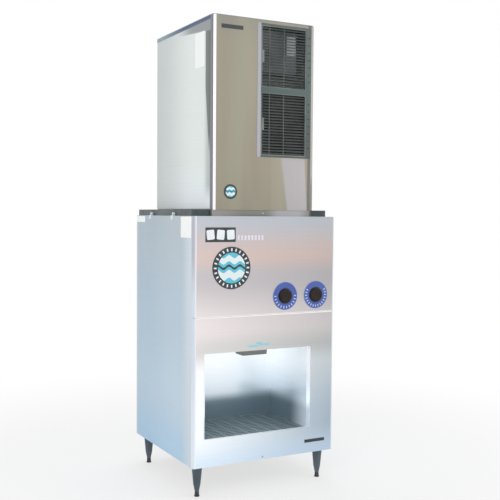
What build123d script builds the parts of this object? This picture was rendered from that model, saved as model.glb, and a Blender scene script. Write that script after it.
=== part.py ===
from build123d import *
import os
from math import asin, cos, radians, sin

os.makedirs("parts", exist_ok=True)

# Overall sizes in millimetres. X is to the right, -Y is the front, Z is up from the floor.
CAB_W = 776.0
CAB_D = 748.0
CAB_H = 1186.0
LEG_H = 152.0
MAKER_W = 559.0
MAKER_D = 695.0
MAKER_H = 951.0
MAKER_SETBACK = 33.0

# Sheet metal
SHEET = 1.5
THIN = 1.2
SEAM = 1.0
BEND = 3.0

# Faces of the cabinet and of the ice maker that stands on it
SIDE = CAB_W / 2
FRONT = -CAB_D / 2
BACK = CAB_D / 2
CAB_Z0 = LEG_H
CAB_Z1 = LEG_H + CAB_H
MAKER_SIDE = MAKER_W / 2
MAKER_F = FRONT + MAKER_SETBACK
MAKER_B = MAKER_F + MAKER_D
MAKER_Z0 = CAB_Z1
MAKER_Z1 = MAKER_Z0 + MAKER_H

# Front sheets wrap round the corners by a return, and the side sheets start behind it
RETURN = 25.0
FLANGE = 18.0
INNER_Y0 = FRONT + RETURN + SEAM + SHEET
INNER_Y1 = BACK - 2 * SHEET
PANEL_SPLIT = 862.0

# Alcove where a vessel stands under the chute
ALCOVE_X0, ALCOVE_X1 = -333.0, 257.0
ALCOVE_Z0, ALCOVE_Z1 = 283.0, 690.0
HEM = 12.5
LINER_X0, LINER_X1 = -322.0, 242.0
LINER_Y0 = FRONT + SHEET + HEM
LINER_Y1 = FRONT + 384.0
LINER_Z0, LINER_Z1 = 270.5, 705.0
LINER_FLANGE = 20.0
LEDGE = 15.0

# Ice bin, dispensing wheel and chute, all centred over the alcove
AXIS_X = -38.0
AXIS_Z = 900.0
TROUGH_R = 130.0
FOAM = 35.0
BIN_Y = 245.0
BIN_WALL = 40.0
BIN_W = 345.0
BIN_TOP = CAB_Z1 - SHEET - 20.0
WINDOW_W, WINDOW_H = 120.0, 80.0
WINDOW_Z = 965.0
SHAFT_R = 12.0
RUNNING = 0.05
HOOD_W, HOOD_D = 150.0, 90.0
HOOD_Z0, HOOD_Z1 = 760.0, 1035.0
SPOUT_W, SPOUT_D, SPOUT_Z = 130.0, 80.0, 660.0
HOOD_Y = -BIN_Y - HOOD_D / 2
GATE_Z = 1018.0
GATE_Y = -256.0
GATE_PIN_R = 3.0
LEVER = 30.0
PLUNGER_X = 62.0

# Push buttons
BUTTON_X = (104.0, 280.5)
BUTTON_Z = 948.0
RING_R = 69.0
RING_T = 2.5
CAP_R = 35.0
CAP_OUT = 12.0
CAP_GAP = 0.4

# Opening through which ice drops from the maker into the bin
DROP_X0, DROP_X1 = -250.0, -100.0
DROP_Y = 220.0

# Air grille in the maker's front
GRILLE_X0, GRILLE_X1 = -24.0, 262.0
GRILLE_Z0, GRILLE_Z1 = 1626.0, 2270.0
LOUVRE_X0, LOUVRE_X1 = -20.0, 236.0
LOWER_Z = (1634.0, 1939.0)
UPPER_Z = (1963.0, 2262.0)
SLATS = 21
FIT = 0.4

# Fittings through the back sheets
INLET_X, INLET_Z = 255.0, 620.0
DRAIN_Z = 185.0
THREAD_R = 14.0
BORE_R = 9.3
REAR_OUT = CAP_OUT
BARREL = 28.0

# Legs and adjustable feet
LEG_INSET_X, LEG_INSET_Y = 49.0, 62.0
LEG_FOOT_Z = 23.0
STEM_R = 5.0


def save(piece, name):
    piece.part.label = name
    export_step(piece.part, f"parts/{name}.step")


def span(low, high):
    """Middle and length of a stretch."""
    return (low + high) / 2, high - low


def dome_steps(rim_r, height, steps):
    """Radius and drop below the flat crown of the rings of a dome turned in steps, rim first."""
    sphere_r = (rim_r**2 + height**2) / (2 * height)
    angles = [asin(rim_r / sphere_r) * step / steps for step in range(steps, 0, -1)]
    return [(sphere_r * sin(angle), sphere_r * (cos(angles[-1]) - cos(angle))) for angle in angles]


def block(x, y, z, mode=Mode.ADD):
    """Box given by its two limits along each axis."""
    (cx, sx), (cy, sy), (cz, sz) = span(*x), span(*y), span(*z)
    with Locations((cx, cy, cz)):
        Box(sx, sy, sz, mode=mode)


# Cabinet side sheets, folded inwards at the front and at the rear
def side_panel(sign):
    wall = sign * (SIDE - SHEET / 2)
    inner = wall - sign * FLANGE
    front = INNER_Y0 - SHEET / 2
    rear = INNER_Y1 + SHEET / 2
    with BuildPart() as panel:
        with BuildSketch(Plane.XY.offset(CAB_Z0)):
            with BuildLine():
                FilletPolyline((inner, front), (wall, front), (wall, rear), (inner, rear), radius=BEND)
            trace(line_width=SHEET)
        extrude(amount=CAB_H)
    return panel


save(side_panel(-1), "left_side_panel")
save(side_panel(1), "right_side_panel")

# Back sheet, screwed onto the side sheets' rear folds
with BuildPart() as back_panel:
    block((-SIDE + BEND, SIDE - BEND), (BACK - SHEET, BACK), (CAB_Z0, CAB_Z1 - SHEET))
    with Locations(Plane.XZ.offset(-BACK)):
        with Locations((INLET_X, INLET_Z), (AXIS_X, DRAIN_Z), (-INLET_X, INLET_Z)):
            Cylinder(radius=THREAD_R, height=4 * SHEET, mode=Mode.SUBTRACT)
        with Locations((0, 520)):
            with GridLocations(0, 22, 1, 8):
                Box(180, 6, 4 * SHEET, mode=Mode.SUBTRACT)
save(back_panel, "back_panel")


# Front sheets: shallow pans with rounded corners, open at the rear and along the seam
def front_pan(z0, z1, open_top):
    height = z1 - z0
    with BuildPart() as pan:
        with Locations((0, FRONT + RETURN / 2, (z0 + z1) / 2)):
            Box(CAB_W, RETURN, height)
        fillet(pan.edges().filter_by(Axis.Z).group_by(Axis.Y)[0], radius=6)
        seam_face = pan.faces().sort_by(Axis.Z)[-1 if open_top else 0]
        rear_face = pan.faces().sort_by(Axis.Y)[-1]
        offset(amount=-SHEET, openings=[seam_face, rear_face])
    return pan.part


with BuildPart() as upper_front_panel:
    add(front_pan(PANEL_SPLIT + SEAM / 2, CAB_Z1, False))
    with Locations(Plane.XZ.offset(-FRONT)):
        with Locations(*[(x, BUTTON_Z) for x in BUTTON_X]):
            Cylinder(radius=CAP_R + CAP_GAP, height=4 * SHEET, mode=Mode.SUBTRACT)
save(upper_front_panel, "upper_front_panel")

with BuildPart() as lower_front_panel:
    add(front_pan(CAB_Z0, PANEL_SPLIT - SEAM / 2, True))
    block((ALCOVE_X0 - SHEET, ALCOVE_X1 + SHEET), (FRONT, LINER_Y0), (ALCOVE_Z0 - SHEET, ALCOVE_Z1 + SHEET))
    block((ALCOVE_X0, ALCOVE_X1), (FRONT - SHEET, LINER_Y0 + SHEET), (ALCOVE_Z0, ALCOVE_Z1), Mode.SUBTRACT)
save(lower_front_panel, "lower_front_panel")

# Base pan that carries the legs, with upturned edges
LEG_SPOTS = [
    (sx * (SIDE - LEG_INSET_X), sy * (CAB_D / 2 - LEG_INSET_Y)) for sy in (-1, 1) for sx in (-1, 1)
]
with BuildPart() as base_pan:
    block((-SIDE + SHEET, SIDE - SHEET), (INNER_Y0, INNER_Y1), (CAB_Z0, CAB_Z0 + 16))
    fillet(base_pan.edges().filter_by(Axis.Z), radius=BEND)
    offset(amount=-SHEET, openings=base_pan.faces().sort_by(Axis.Z)[-1])
    with Locations(*[(x, y, CAB_Z0) for x, y in LEG_SPOTS]):
        Cylinder(radius=STEM_R + 1, height=4 * SHEET, mode=Mode.SUBTRACT)
save(base_pan, "base_pan")

# Top deck with the ice opening and its raised rim
with BuildPart() as top_deck:
    block((-SIDE + SHEET, SIDE - SHEET), (INNER_Y0, INNER_Y1), (BIN_TOP, CAB_Z1))
    fillet(top_deck.edges().filter_by(Axis.Z), radius=BEND)
    offset(amount=-SHEET, openings=top_deck.faces().sort_by(Axis.Z)[0])
    block((DROP_X0, DROP_X1), (-DROP_Y, DROP_Y), (BIN_TOP, CAB_Z1 + SHEET), Mode.SUBTRACT)
save(top_deck, "top_deck")

# Mirror-polished alcove liner: five walls, a front flange and a ledge that carries the tray
with BuildPart() as alcove_liner:
    block(
        (LINER_X0 - SHEET, LINER_X1 + SHEET),
        (LINER_Y0, LINER_Y1 + SHEET),
        (LINER_Z0 - SHEET, LINER_Z1 + SHEET),
    )
    offset(amount=-SHEET, openings=alcove_liner.faces().sort_by(Axis.Y)[0])
    block(
        (LINER_X0 - LINER_FLANGE, LINER_X1 + LINER_FLANGE),
        (LINER_Y0, LINER_Y0 + SHEET),
        (LINER_Z0 - LINER_FLANGE, LINER_Z1 + LINER_FLANGE),
    )
    block(
        (LINER_X0, LINER_X1),
        (LINER_Y0 - SHEET, LINER_Y0 + 2 * SHEET),
        (LINER_Z0, LINER_Z1),
        Mode.SUBTRACT,
    )
    block(
        (LINER_X0 + LEDGE, LINER_X1 - LEDGE),
        (LINER_Y0 + LEDGE, LINER_Y1 - LEDGE),
        (LINER_Z0 - 2 * SHEET, LINER_Z0),
        Mode.SUBTRACT,
    )
    with Locations((AXIS_X, HOOD_Y, LINER_Z1)):
        Box(HOOD_W - 2, HOOD_D + 2, 4 * SHEET, mode=Mode.SUBTRACT)
    with Locations((AXIS_X + 110, HOOD_Y, LINER_Z1)):
        Cylinder(radius=9, height=4 * SHEET, mode=Mode.SUBTRACT)
save(alcove_liner, "alcove_liner")

# Drip tray: a basin hung by its flange on the liner's ledge, with a drain spigot
TRAY_Z0 = 205.0
TRAY_RIM = 276.5
with BuildPart() as drip_tray:
    block(
        (LINER_X0 + LEDGE + 1, LINER_X1 - LEDGE - 1),
        (LINER_Y0 + LEDGE + 1, LINER_Y1 - LEDGE - 1),
        (TRAY_Z0, LINER_Z0 + SHEET),
    )
    block((LINER_X0, LINER_X1), (LINER_Y0, LINER_Y1), (LINER_Z0, TRAY_RIM))
    block(
        (LINER_X0 + SHEET, LINER_X1 - SHEET),
        (LINER_Y0 + SHEET, LINER_Y1 - SHEET),
        (LINER_Z0 + SHEET, TRAY_RIM),
        Mode.SUBTRACT,
    )
    block(
        (LINER_X0 + LEDGE + 1 + SHEET, LINER_X1 - LEDGE - 1 - SHEET),
        (LINER_Y0 + LEDGE + 1 + SHEET, LINER_Y1 - LEDGE - 1 - SHEET),
        (TRAY_Z0 + SHEET, TRAY_RIM),
        Mode.SUBTRACT,
    )
    with Locations((AXIS_X, -180, TRAY_Z0 - 2)):
        Cylinder(radius=16, height=4)
        Cylinder(radius=13, height=10, mode=Mode.SUBTRACT)
save(drip_tray, "drip_tray")

# Lift-out drip grille, a sheet punched with rows of slots
SLOT_COLS, SLOT_ROWS = 9, 12
with BuildPart() as drip_grille:
    block(
        (LINER_X0 + SHEET + 1, LINER_X1 - SHEET - 1),
        (LINER_Y0 + SHEET + 1, LINER_Y1 - SHEET - 1),
        (LINER_Z0 + SHEET, TRAY_RIM - 0.5),
    )
    grille_mid = ((LINER_X0 + LINER_X1) / 2, (LINER_Y0 + LINER_Y1) / 2, LINER_Z0)
    with Locations(grille_mid):
        with GridLocations(60, 28, SLOT_COLS, SLOT_ROWS):
            Box(46, 12, 20, mode=Mode.SUBTRACT)
save(drip_grille, "drip_grille")


# Insulated ice bin: a hopper that narrows to a round trough, with foam between its two skins
def hopper(radius, half_width, top):
    """Outline seen from the front: vertical sides, slopes, and an arc about the wheel's axis."""
    with BuildSketch(Plane.XZ) as outline:
        with BuildLine():
            knee = AXIS_Z + 190
            lean = 30
            left = (AXIS_X - radius * cos(radians(lean)), AXIS_Z - radius * sin(radians(lean)))
            right = (AXIS_X + radius * cos(radians(lean)), AXIS_Z - radius * sin(radians(lean)))
            Polyline(
                left,
                (-half_width, knee),
                (-half_width, top),
                (half_width, top),
                (half_width, knee),
                right,
            )
            ThreePointArc(right, (AXIS_X, AXIS_Z - radius), left)
        make_face()
    return outline.sketch


with BuildPart() as ice_bin:
    with BuildSketch(Plane.XZ.offset(-BIN_Y)):
        add(hopper(TROUGH_R + FOAM, BIN_W, BIN_TOP))
    extrude(amount=2 * BIN_Y)
    with BuildSketch(Plane.XZ.offset(-BIN_Y + BIN_WALL)):
        add(hopper(TROUGH_R, BIN_W - BIN_WALL, BIN_TOP + 10))
    extrude(amount=2 * (BIN_Y - BIN_WALL), mode=Mode.SUBTRACT)
    block((-SIDE + SHEET, -BIN_W), (-BIN_Y, BIN_Y), (BIN_TOP - 15, BIN_TOP))
    block((BIN_W, SIDE - SHEET), (-BIN_Y, BIN_Y), (BIN_TOP - 15, BIN_TOP))
    with Locations((AXIS_X, -BIN_Y + BIN_WALL / 2, WINDOW_Z)):
        Box(WINDOW_W, 2 * BIN_WALL, WINDOW_H, mode=Mode.SUBTRACT)
    with Locations(Plane.XZ.offset(-BIN_Y + BIN_WALL / 2)):
        with Locations((AXIS_X, AXIS_Z)):
            Cylinder(radius=20, height=2 * BIN_WALL, mode=Mode.SUBTRACT)
    with Locations(Plane.XZ.offset(BIN_Y - BIN_WALL)):
        with Locations((AXIS_X, AXIS_Z)):
            Cylinder(radius=20, height=40, mode=Mode.SUBTRACT)
save(ice_bin, "ice_bin")

# Dispensing wheel: one shaft with stirring bars, and a paddle wheel at its front end
WHEEL_Y0, WHEEL_Y1 = -195.0, -150.0
PADDLES = 6
with BuildPart() as agitator:
    with Locations(Plane.XZ.offset(-22)):
        with Locations((AXIS_X, AXIS_Z)):
            Cylinder(radius=SHAFT_R, height=2 * BIN_Y)
    with BuildSketch(Plane.XZ.offset(-WHEEL_Y0)):
        with Locations((AXIS_X, AXIS_Z)):
            Circle(28)
            with PolarLocations(71, PADDLES):
                Rectangle(102, 7)
    extrude(amount=WHEEL_Y0 - WHEEL_Y1)
    with BuildSketch(Plane.XZ.offset(-WHEEL_Y1)):
        with Locations((AXIS_X, AXIS_Z)):
            Circle(105)
    extrude(amount=-4)
    for bar_y, bar_turn in ((-50, 25), (90, 115)):
        with Locations((AXIS_X, bar_y, AXIS_Z)):
            Cylinder(radius=5, height=210, rotation=(0, bar_turn, 0))
save(agitator, "agitator")

# Plastic bushes that carry the shaft in the bin's front and rear walls
with BuildPart() as shaft_bushes:
    with Locations(Plane.XZ.offset(BIN_Y - BIN_WALL + 10)):
        with Locations((AXIS_X, AXIS_Z)):
            Cylinder(radius=20, height=20)
    with Locations(Plane.XZ.offset(-BIN_Y + BIN_WALL / 2)):
        with Locations((AXIS_X, AXIS_Z)):
            Cylinder(radius=20, height=BIN_WALL)
            Cylinder(radius=SHAFT_R + RUNNING, height=4 * BIN_Y, mode=Mode.SUBTRACT)
save(shaft_bushes, "shaft_bushes")

# Gear motor bolted to the bin's rear wall
GEARBOX = 45.0
with BuildPart() as gear_motor:
    block((AXIS_X - 55, AXIS_X + 55), (BIN_Y, BIN_Y + GEARBOX), (AXIS_Z - 105, AXIS_Z + 55))
    fillet(gear_motor.edges().filter_by(Axis.Y), radius=14)
    with Locations(Plane.XZ.offset(-BIN_Y - GEARBOX)):
        with Locations((AXIS_X, AXIS_Z - 55)):
            Cylinder(radius=42, height=75, align=(Align.CENTER, Align.CENTER, Align.MAX))
    chamfer(gear_motor.edges().filter_by(GeomType.CIRCLE).sort_by(Axis.Y)[-1], length=6)
    with Locations(Plane.XZ.offset(-BIN_Y)):
        with Locations((AXIS_X, AXIS_Z)):
            Cylinder(radius=SHAFT_R + RUNNING, height=50, mode=Mode.SUBTRACT)
save(gear_motor, "gear_motor")

# Ice chute: a hood over the bin's window that narrows into the spout seen in the alcove
HOOD_SHEET = 2.0
with BuildPart() as ice_chute:
    with Locations((AXIS_X, HOOD_Y, (HOOD_Z0 + HOOD_Z1) / 2)):
        Box(HOOD_W, HOOD_D, HOOD_Z1 - HOOD_Z0)
    with BuildSketch(Plane.XY.offset(HOOD_Z0)):
        with Locations((AXIS_X, HOOD_Y)):
            Rectangle(HOOD_W, HOOD_D)
    with BuildSketch(Plane.XY.offset(SPOUT_Z)):
        with Locations((AXIS_X, HOOD_Y)):
            Rectangle(SPOUT_W, SPOUT_D)
    loft()
    offset(amount=-HOOD_SHEET, openings=ice_chute.faces().sort_by(Axis.Z)[0])
    with Locations((AXIS_X, -BIN_Y, WINDOW_Z)):
        Box(WINDOW_W, 5 * HOOD_SHEET, WINDOW_H, mode=Mode.SUBTRACT)
    with Locations(Plane.YZ.offset(AXIS_X)):
        with Locations((GATE_Y, GATE_Z)):
            Cylinder(radius=GATE_PIN_R + RUNNING, height=HOOD_W + 10, mode=Mode.SUBTRACT)
save(ice_chute, "ice_chute")

# Gate flap that hangs in front of the window, with a rolled hinge eye
GATE_W = 136.0
with BuildPart() as chute_gate:
    block((AXIS_X - GATE_W / 2, AXIS_X + GATE_W / 2), (GATE_Y - 1, GATE_Y + 1), (WINDOW_Z - 52, GATE_Z))
    with Locations(Plane.YZ.offset(AXIS_X)):
        with Locations((GATE_Y, GATE_Z)):
            Cylinder(radius=GATE_PIN_R + 2.5, height=GATE_W)
            Cylinder(radius=GATE_PIN_R, height=GATE_W + 10, mode=Mode.SUBTRACT)
save(chute_gate, "chute_gate")

# Hinge pin pressed into the gate, carried on to a lever with a cross pin at its end
LEVER_X = PLUNGER_X - 10
with BuildPart() as gate_shaft:
    with BuildSketch(Plane.YZ.offset(LEVER_X)):
        with Locations((GATE_Y - LEVER / 2, GATE_Z)):
            SlotCenterToCenter(LEVER, 9)
    extrude(amount=3)
    with Locations(Plane.YZ.offset(LEVER_X + 3)):
        with Locations((GATE_Y, GATE_Z)):
            Cylinder(
                radius=GATE_PIN_R,
                height=LEVER_X + 3 - AXIS_X + HOOD_W / 2 + 3,
                align=(Align.CENTER, Align.CENTER, Align.MAX),
            )
        with Locations((GATE_Y - LEVER, GATE_Z)):
            Cylinder(radius=2, height=12, align=(Align.CENTER, Align.CENTER, Align.MIN))
save(gate_shaft, "gate_shaft")

# Solenoid on a bracket from the bin's front wall, above the lever
SOLENOID_Z0, SOLENOID_Z1 = 1050.0, 1110.0
PLUNGER_Y = GATE_Y - LEVER
PLUNGER_R = 5.0
with BuildPart() as gate_solenoid:
    block((PLUNGER_X - 20, PLUNGER_X + 20), (PLUNGER_Y - 20, PLUNGER_Y + 20), (SOLENOID_Z0, SOLENOID_Z1))
    fillet(gate_solenoid.edges().filter_by(Axis.Z), radius=6)
    block((PLUNGER_X - 22, PLUNGER_X + 22), (PLUNGER_Y - 20, -BIN_Y), (SOLENOID_Z1, SOLENOID_Z1 + 3))
    block((PLUNGER_X - 22, PLUNGER_X + 22), (-BIN_Y - 3, -BIN_Y), (SOLENOID_Z0, SOLENOID_Z1 + 3))
    with Locations((PLUNGER_X, PLUNGER_Y, SOLENOID_Z0 + 30)):
        Cylinder(radius=PLUNGER_R + RUNNING, height=100, mode=Mode.SUBTRACT)
save(gate_solenoid, "gate_solenoid")

# Plunger with a slotted blade that lifts the lever's cross pin
with BuildPart() as solenoid_plunger:
    with Locations((PLUNGER_X, PLUNGER_Y, GATE_Z + 12)):
        Cylinder(radius=PLUNGER_R, height=55, align=(Align.CENTER, Align.CENTER, Align.MIN))
    block((PLUNGER_X - 2, PLUNGER_X + 2), (PLUNGER_Y - 8, PLUNGER_Y + 14), (GATE_Z - 12, GATE_Z + 14))
    with Locations((PLUNGER_X, PLUNGER_Y + 2.5, GATE_Z)):
        Box(10, 12, 6, mode=Mode.SUBTRACT)
save(solenoid_plunger, "solenoid_plunger")

# Water path: inlet fitting, valve behind the back sheet, pipe past the alcove, nozzle
NOZZLE_X = AXIS_X + 110
VALVE_Y = BACK - 60


def through_fitting(x, z, face, length, bore):
    """Bulkhead fitting: hexagon outside the sheet, threaded barrel inside, bored for a pipe thread."""
    with BuildPart() as fitting:
        with BuildSketch(Plane.XZ.offset(-face - length)):
            with Locations((x, z)):
                RegularPolygon(radius=THREAD_R + 6, side_count=6)
        extrude(amount=length)
        with Locations(Plane.XZ.offset(-face)):
            with Locations((x, z)):
                Cylinder(radius=THREAD_R, height=BARREL, align=(Align.CENTER, Align.CENTER, Align.MIN))
        with Locations(Plane.XZ.offset(-face - length)):
            with Locations((x, z)):
                Cylinder(
                    radius=bore,
                    height=length + BARREL,
                    align=(Align.CENTER, Align.CENTER, Align.MIN),
                    mode=Mode.SUBTRACT,
                )
    return fitting.part


with BuildPart() as water_inlet:
    add(through_fitting(INLET_X, INLET_Z, BACK, REAR_OUT, BORE_R))
save(water_inlet, "water_inlet")

with BuildPart() as drain_fitting:
    add(through_fitting(AXIS_X, DRAIN_Z, BACK, REAR_OUT, 12.0))
save(drain_fitting, "drain_fitting")

with BuildPart() as power_gland:
    with BuildSketch(Plane.XZ.offset(-BACK - 5)):
        with Locations((-INLET_X, INLET_Z)):
            RegularPolygon(radius=THREAD_R + 5, side_count=6)
    extrude(amount=5)
    with Locations(Plane.XZ.offset(-BACK)):
        with Locations((-INLET_X, INLET_Z)):
            Cylinder(radius=THREAD_R - 1, height=REAR_OUT, align=(Align.CENTER, Align.CENTER, Align.MAX))
            Cylinder(radius=THREAD_R, height=18, align=(Align.CENTER, Align.CENTER, Align.MIN))
    chamfer(power_gland.edges().filter_by(GeomType.CIRCLE).sort_by(Axis.Y)[-1], length=4)
    with Locations(Plane.XZ.offset(-BACK)):
        with Locations((-INLET_X, INLET_Z)):
            Cylinder(radius=5, height=60, mode=Mode.SUBTRACT)
save(power_gland, "power_gland")

with BuildPart() as water_valve:
    block((INLET_X - 24, INLET_X + 24), (VALVE_Y, BACK - BARREL), (INLET_Z - 20, INLET_Z + 20))
    fillet(water_valve.edges().filter_by(Axis.Y), radius=6)
    with Locations((INLET_X, VALVE_Y + 16, INLET_Z + 20)):
        Cylinder(radius=15, height=42, align=(Align.CENTER, Align.CENTER, Align.MIN))
    chamfer(water_valve.edges().filter_by(GeomType.CIRCLE).sort_by(Axis.Z)[-1], length=3)
save(water_valve, "water_valve")

PIPE_Z = LINER_Z1 + 26
with BuildPart() as water_pipe:
    with BuildLine() as pipe_route:
        FilletPolyline(
            (INLET_X + 8, VALVE_Y, INLET_Z),
            (INLET_X + 8, HOOD_Y + 80, INLET_Z),
            (INLET_X + 8, HOOD_Y, PIPE_Z),
            (NOZZLE_X, HOOD_Y, PIPE_Z),
            radius=25,
        )
    with BuildSketch(Plane(origin=pipe_route.line @ 0, z_dir=pipe_route.line % 0)):
        Circle(5)
    sweep()
save(water_pipe, "water_pipe")

with BuildPart() as water_nozzle:
    with Locations((NOZZLE_X, HOOD_Y, LINER_Z1 + SHEET)):
        Cylinder(radius=18, height=3, align=(Align.CENTER, Align.CENTER, Align.MIN))
        Cylinder(radius=11, height=34, align=(Align.CENTER, Align.CENTER, Align.MIN))
    with Locations((NOZZLE_X, HOOD_Y, LINER_Z1 - 11)):
        Cylinder(radius=8, height=20, align=(Align.CENTER, Align.CENTER, Align.MIN))
        Cylinder(radius=5, height=20, align=(Align.CENTER, Align.CENTER, Align.MIN), mode=Mode.SUBTRACT)
    with Locations(Plane.YZ.offset(NOZZLE_X + 11)):
        with Locations((HOOD_Y, PIPE_Z)):
            Cylinder(radius=5, height=22, mode=Mode.SUBTRACT)
save(water_nozzle, "water_nozzle")

# Waste pipe from the drip tray's spigot to the drain fitting
with BuildPart() as drain_pipe:
    with BuildLine() as drain_route:
        FilletPolyline(
            (AXIS_X, -180, TRAY_Z0),
            (AXIS_X, -180, DRAIN_Z),
            (AXIS_X, BACK - BARREL, DRAIN_Z),
            radius=16,
        )
    with BuildSketch(Plane(origin=drain_route.line @ 0, z_dir=drain_route.line % 0)):
        Circle(12.95)
    sweep()
save(drain_pipe, "drain_pipe")


# Push buttons: coloured ring on the panel, domed cap with a stem, guide behind, switch at the end
def button_ring(x):
    with BuildPart() as ring:
        with Locations(Plane.XZ.offset(-FRONT)):
            with Locations((x, BUTTON_Z)):
                Cylinder(radius=RING_R, height=RING_T, align=(Align.CENTER, Align.CENTER, Align.MIN))
        chamfer(ring.edges().filter_by(GeomType.CIRCLE).sort_by(Axis.Y)[0], length=1)
        with Locations(Plane.XZ.offset(-FRONT)):
            with Locations((x, BUTTON_Z)):
                Cylinder(radius=CAP_R + CAP_GAP, height=4 * RING_T, mode=Mode.SUBTRACT)
    return ring


GUIDE_Y0 = FRONT + SHEET
GUIDE_Y1 = GUIDE_Y0 + 26.5
STROKE = 5.0
CAP_Y1 = GUIDE_Y1 - SHEET - 2 * STROKE
STEM_Y1 = GUIDE_Y1 - 3
DOME = 8.0
CAP_WALL = 3.0
CAP_STEM_R = 8.0


def button_cap(x):
    """Domed cap with a hollow skirt and a stem, turned about the button's axis."""
    crown = FRONT - CAP_OUT
    dome = [(x + r, crown + drop) for r, drop in dome_steps(CAP_R, DOME, 2)]
    with BuildPart() as cap:
        with BuildSketch(Plane.XY.offset(BUTTON_Z)):
            with BuildLine():
                Polyline(
                    (x, STEM_Y1),
                    (x + CAP_STEM_R, STEM_Y1),
                    (x + CAP_STEM_R, FRONT),
                    (x + CAP_R - CAP_WALL, FRONT),
                    (x + CAP_R - CAP_WALL, CAP_Y1),
                    (x + CAP_R, CAP_Y1),
                    *dome,
                    (x, dome[-1][1]),
                    close=True,
                )
            make_face()
        revolve(axis=Axis((x, 0, BUTTON_Z), (0, 1, 0)))
    return cap


for button_x, use in zip(BUTTON_X, ("ice", "water")):
    save(button_ring(button_x), f"{use}_button_ring")
    save(button_cap(button_x), f"{use}_button")

with BuildPart() as button_guides:
    with Locations(Plane.XZ.offset(-GUIDE_Y0)):
        with Locations(*[(x, BUTTON_Z) for x in BUTTON_X]):
            Cylinder(radius=CAP_R + 12, height=3, align=(Align.CENTER, Align.CENTER, Align.MAX))
            Cylinder(radius=CAP_R + 3, height=26.5, align=(Align.CENTER, Align.CENTER, Align.MAX))
            Cylinder(
                radius=CAP_R + CAP_GAP,
                height=25,
                align=(Align.CENTER, Align.CENTER, Align.MAX),
                mode=Mode.SUBTRACT,
            )
            Cylinder(radius=8.5, height=80, mode=Mode.SUBTRACT)
save(button_guides, "button_guides")

with BuildPart() as button_switches:
    for button_x in BUTTON_X:
        block((button_x - 16, button_x + 16), (GUIDE_Y1, GUIDE_Y1 + 26), (BUTTON_Z - 10, BUTTON_Z + 10))
        block(
            (button_x - 9.5, button_x + 9.5),
            (GUIDE_Y1 - 1, GUIDE_Y1 + 3),
            (BUTTON_Z - 11, BUTTON_Z + 11),
            Mode.SUBTRACT,
        )
save(button_switches, "button_switches")

# Plain badges and name plates, left bare
with BuildPart() as front_badges:
    with Locations(Plane.XZ.offset(-FRONT)):
        with Locations((-191.5, 1092.5)):
            Cylinder(radius=101, height=1.5, align=(Align.CENTER, Align.CENTER, Align.MIN))
    with Locations(Plane.XZ.offset(-MAKER_F)):
        with Locations((-183.3, 1455.0)):
            Cylinder(radius=35, height=1.5, align=(Align.CENTER, Align.CENTER, Align.MIN))
    block((-329, -171), (FRONT - 1, FRONT), (1216, 1285))
    block((224, 341), (FRONT - 1, FRONT), (203.5, 219))
    block((-235, -120), (MAKER_F - 1, MAKER_F), (2224, 2243))
save(front_badges, "front_badges")


# Four tapered legs with a stud at the top and a tapped bore for the foot
with BuildPart() as legs:
    for leg_x, leg_y in LEG_SPOTS:
        with BuildSketch(Plane.XZ.offset(-leg_y)):
            with BuildLine():
                Polyline(
                    (leg_x, LEG_FOOT_Z),
                    (leg_x + 10, LEG_FOOT_Z),
                    (leg_x + 17.5, 59),
                    (leg_x + 25, 138),
                    (leg_x + 25, LEG_H),
                    (leg_x + STEM_R + 1, LEG_H),
                    (leg_x + STEM_R + 1, LEG_H + 14),
                    (leg_x, LEG_H + 14),
                    (leg_x, LEG_FOOT_Z),
                )
            make_face()
        revolve(axis=Axis((leg_x, leg_y, 0), (0, 0, 1)))
    with Locations(*[(x, y, LEG_FOOT_Z) for x, y in LEG_SPOTS]):
        Cylinder(radius=STEM_R + RUNNING, height=150, mode=Mode.SUBTRACT)
save(legs, "legs")


def foot(x, y):
    with BuildPart() as pad:
        with BuildSketch(Plane.XZ.offset(-y)):
            with BuildLine():
                Polyline(
                    (x, 0),
                    (x + 12.5, 0),
                    (x + 12.5, 6),
                    (x + 10.5, 6),
                    (x + 10.5, LEG_FOOT_Z - 0.4),
                    (x + STEM_R, LEG_FOOT_Z - 0.4),
                    (x + STEM_R, 80),
                    (x, 80),
                    (x, 0),
                )
            make_face()
        revolve(axis=Axis((x, y, 0), (0, 0, 1)))
    return pad


FOOT_NAMES = ("front_left_foot", "front_right_foot", "rear_left_foot", "rear_right_foot")
for (foot_x, foot_y), foot_name in zip(LEG_SPOTS, FOOT_NAMES):
    save(foot(foot_x, foot_y), foot_name)

# Black filler strips that close the deck on both sides of the maker, held by small clips
STRIP_INSET = 14.0
STRIP_H = 31.0
STRIP_Y0 = FRONT + 61


def filler_strip(sign):
    near = sign * (SIDE - STRIP_INSET)
    far = sign * (MAKER_SIDE + 0.5)
    with BuildPart() as strip:
        block((min(near, far), max(near, far)), (STRIP_Y0, BACK), (CAB_Z1, CAB_Z1 + STRIP_H))
        offset(amount=-SHEET, openings=strip.faces().sort_by(Axis.Z)[0])
    return strip.part


with BuildPart() as filler_strips:
    add(filler_strip(-1))
    add(filler_strip(1))
save(filler_strips, "filler_strips")

CLIP_Y = (FRONT + 262, FRONT + 550)
CLIP_LIP = 1.5
with BuildPart() as strip_clips:
    for sign in (-1, 1):
        for clip_y in CLIP_Y:
            strip_face = sign * (SIDE - STRIP_INSET)
            edge = sign * (SIDE + CLIP_LIP)
            block(
                (min(strip_face, edge), max(strip_face, edge)),
                (clip_y - 12, clip_y + 12),
                (CAB_Z1, CAB_Z1 + 2),
            )
            block(
                (min(sign * SIDE, edge), max(sign * SIDE, edge)),
                (clip_y - 12, clip_y + 12),
                (CAB_Z1 - 18, CAB_Z1 + 2),
            )
            with Locations((strip_face + sign * 5, clip_y, CAB_Z1 + 9)):
                Cylinder(radius=8, height=10, rotation=(0, 90, 0))
save(strip_clips, "strip_clips")

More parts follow.
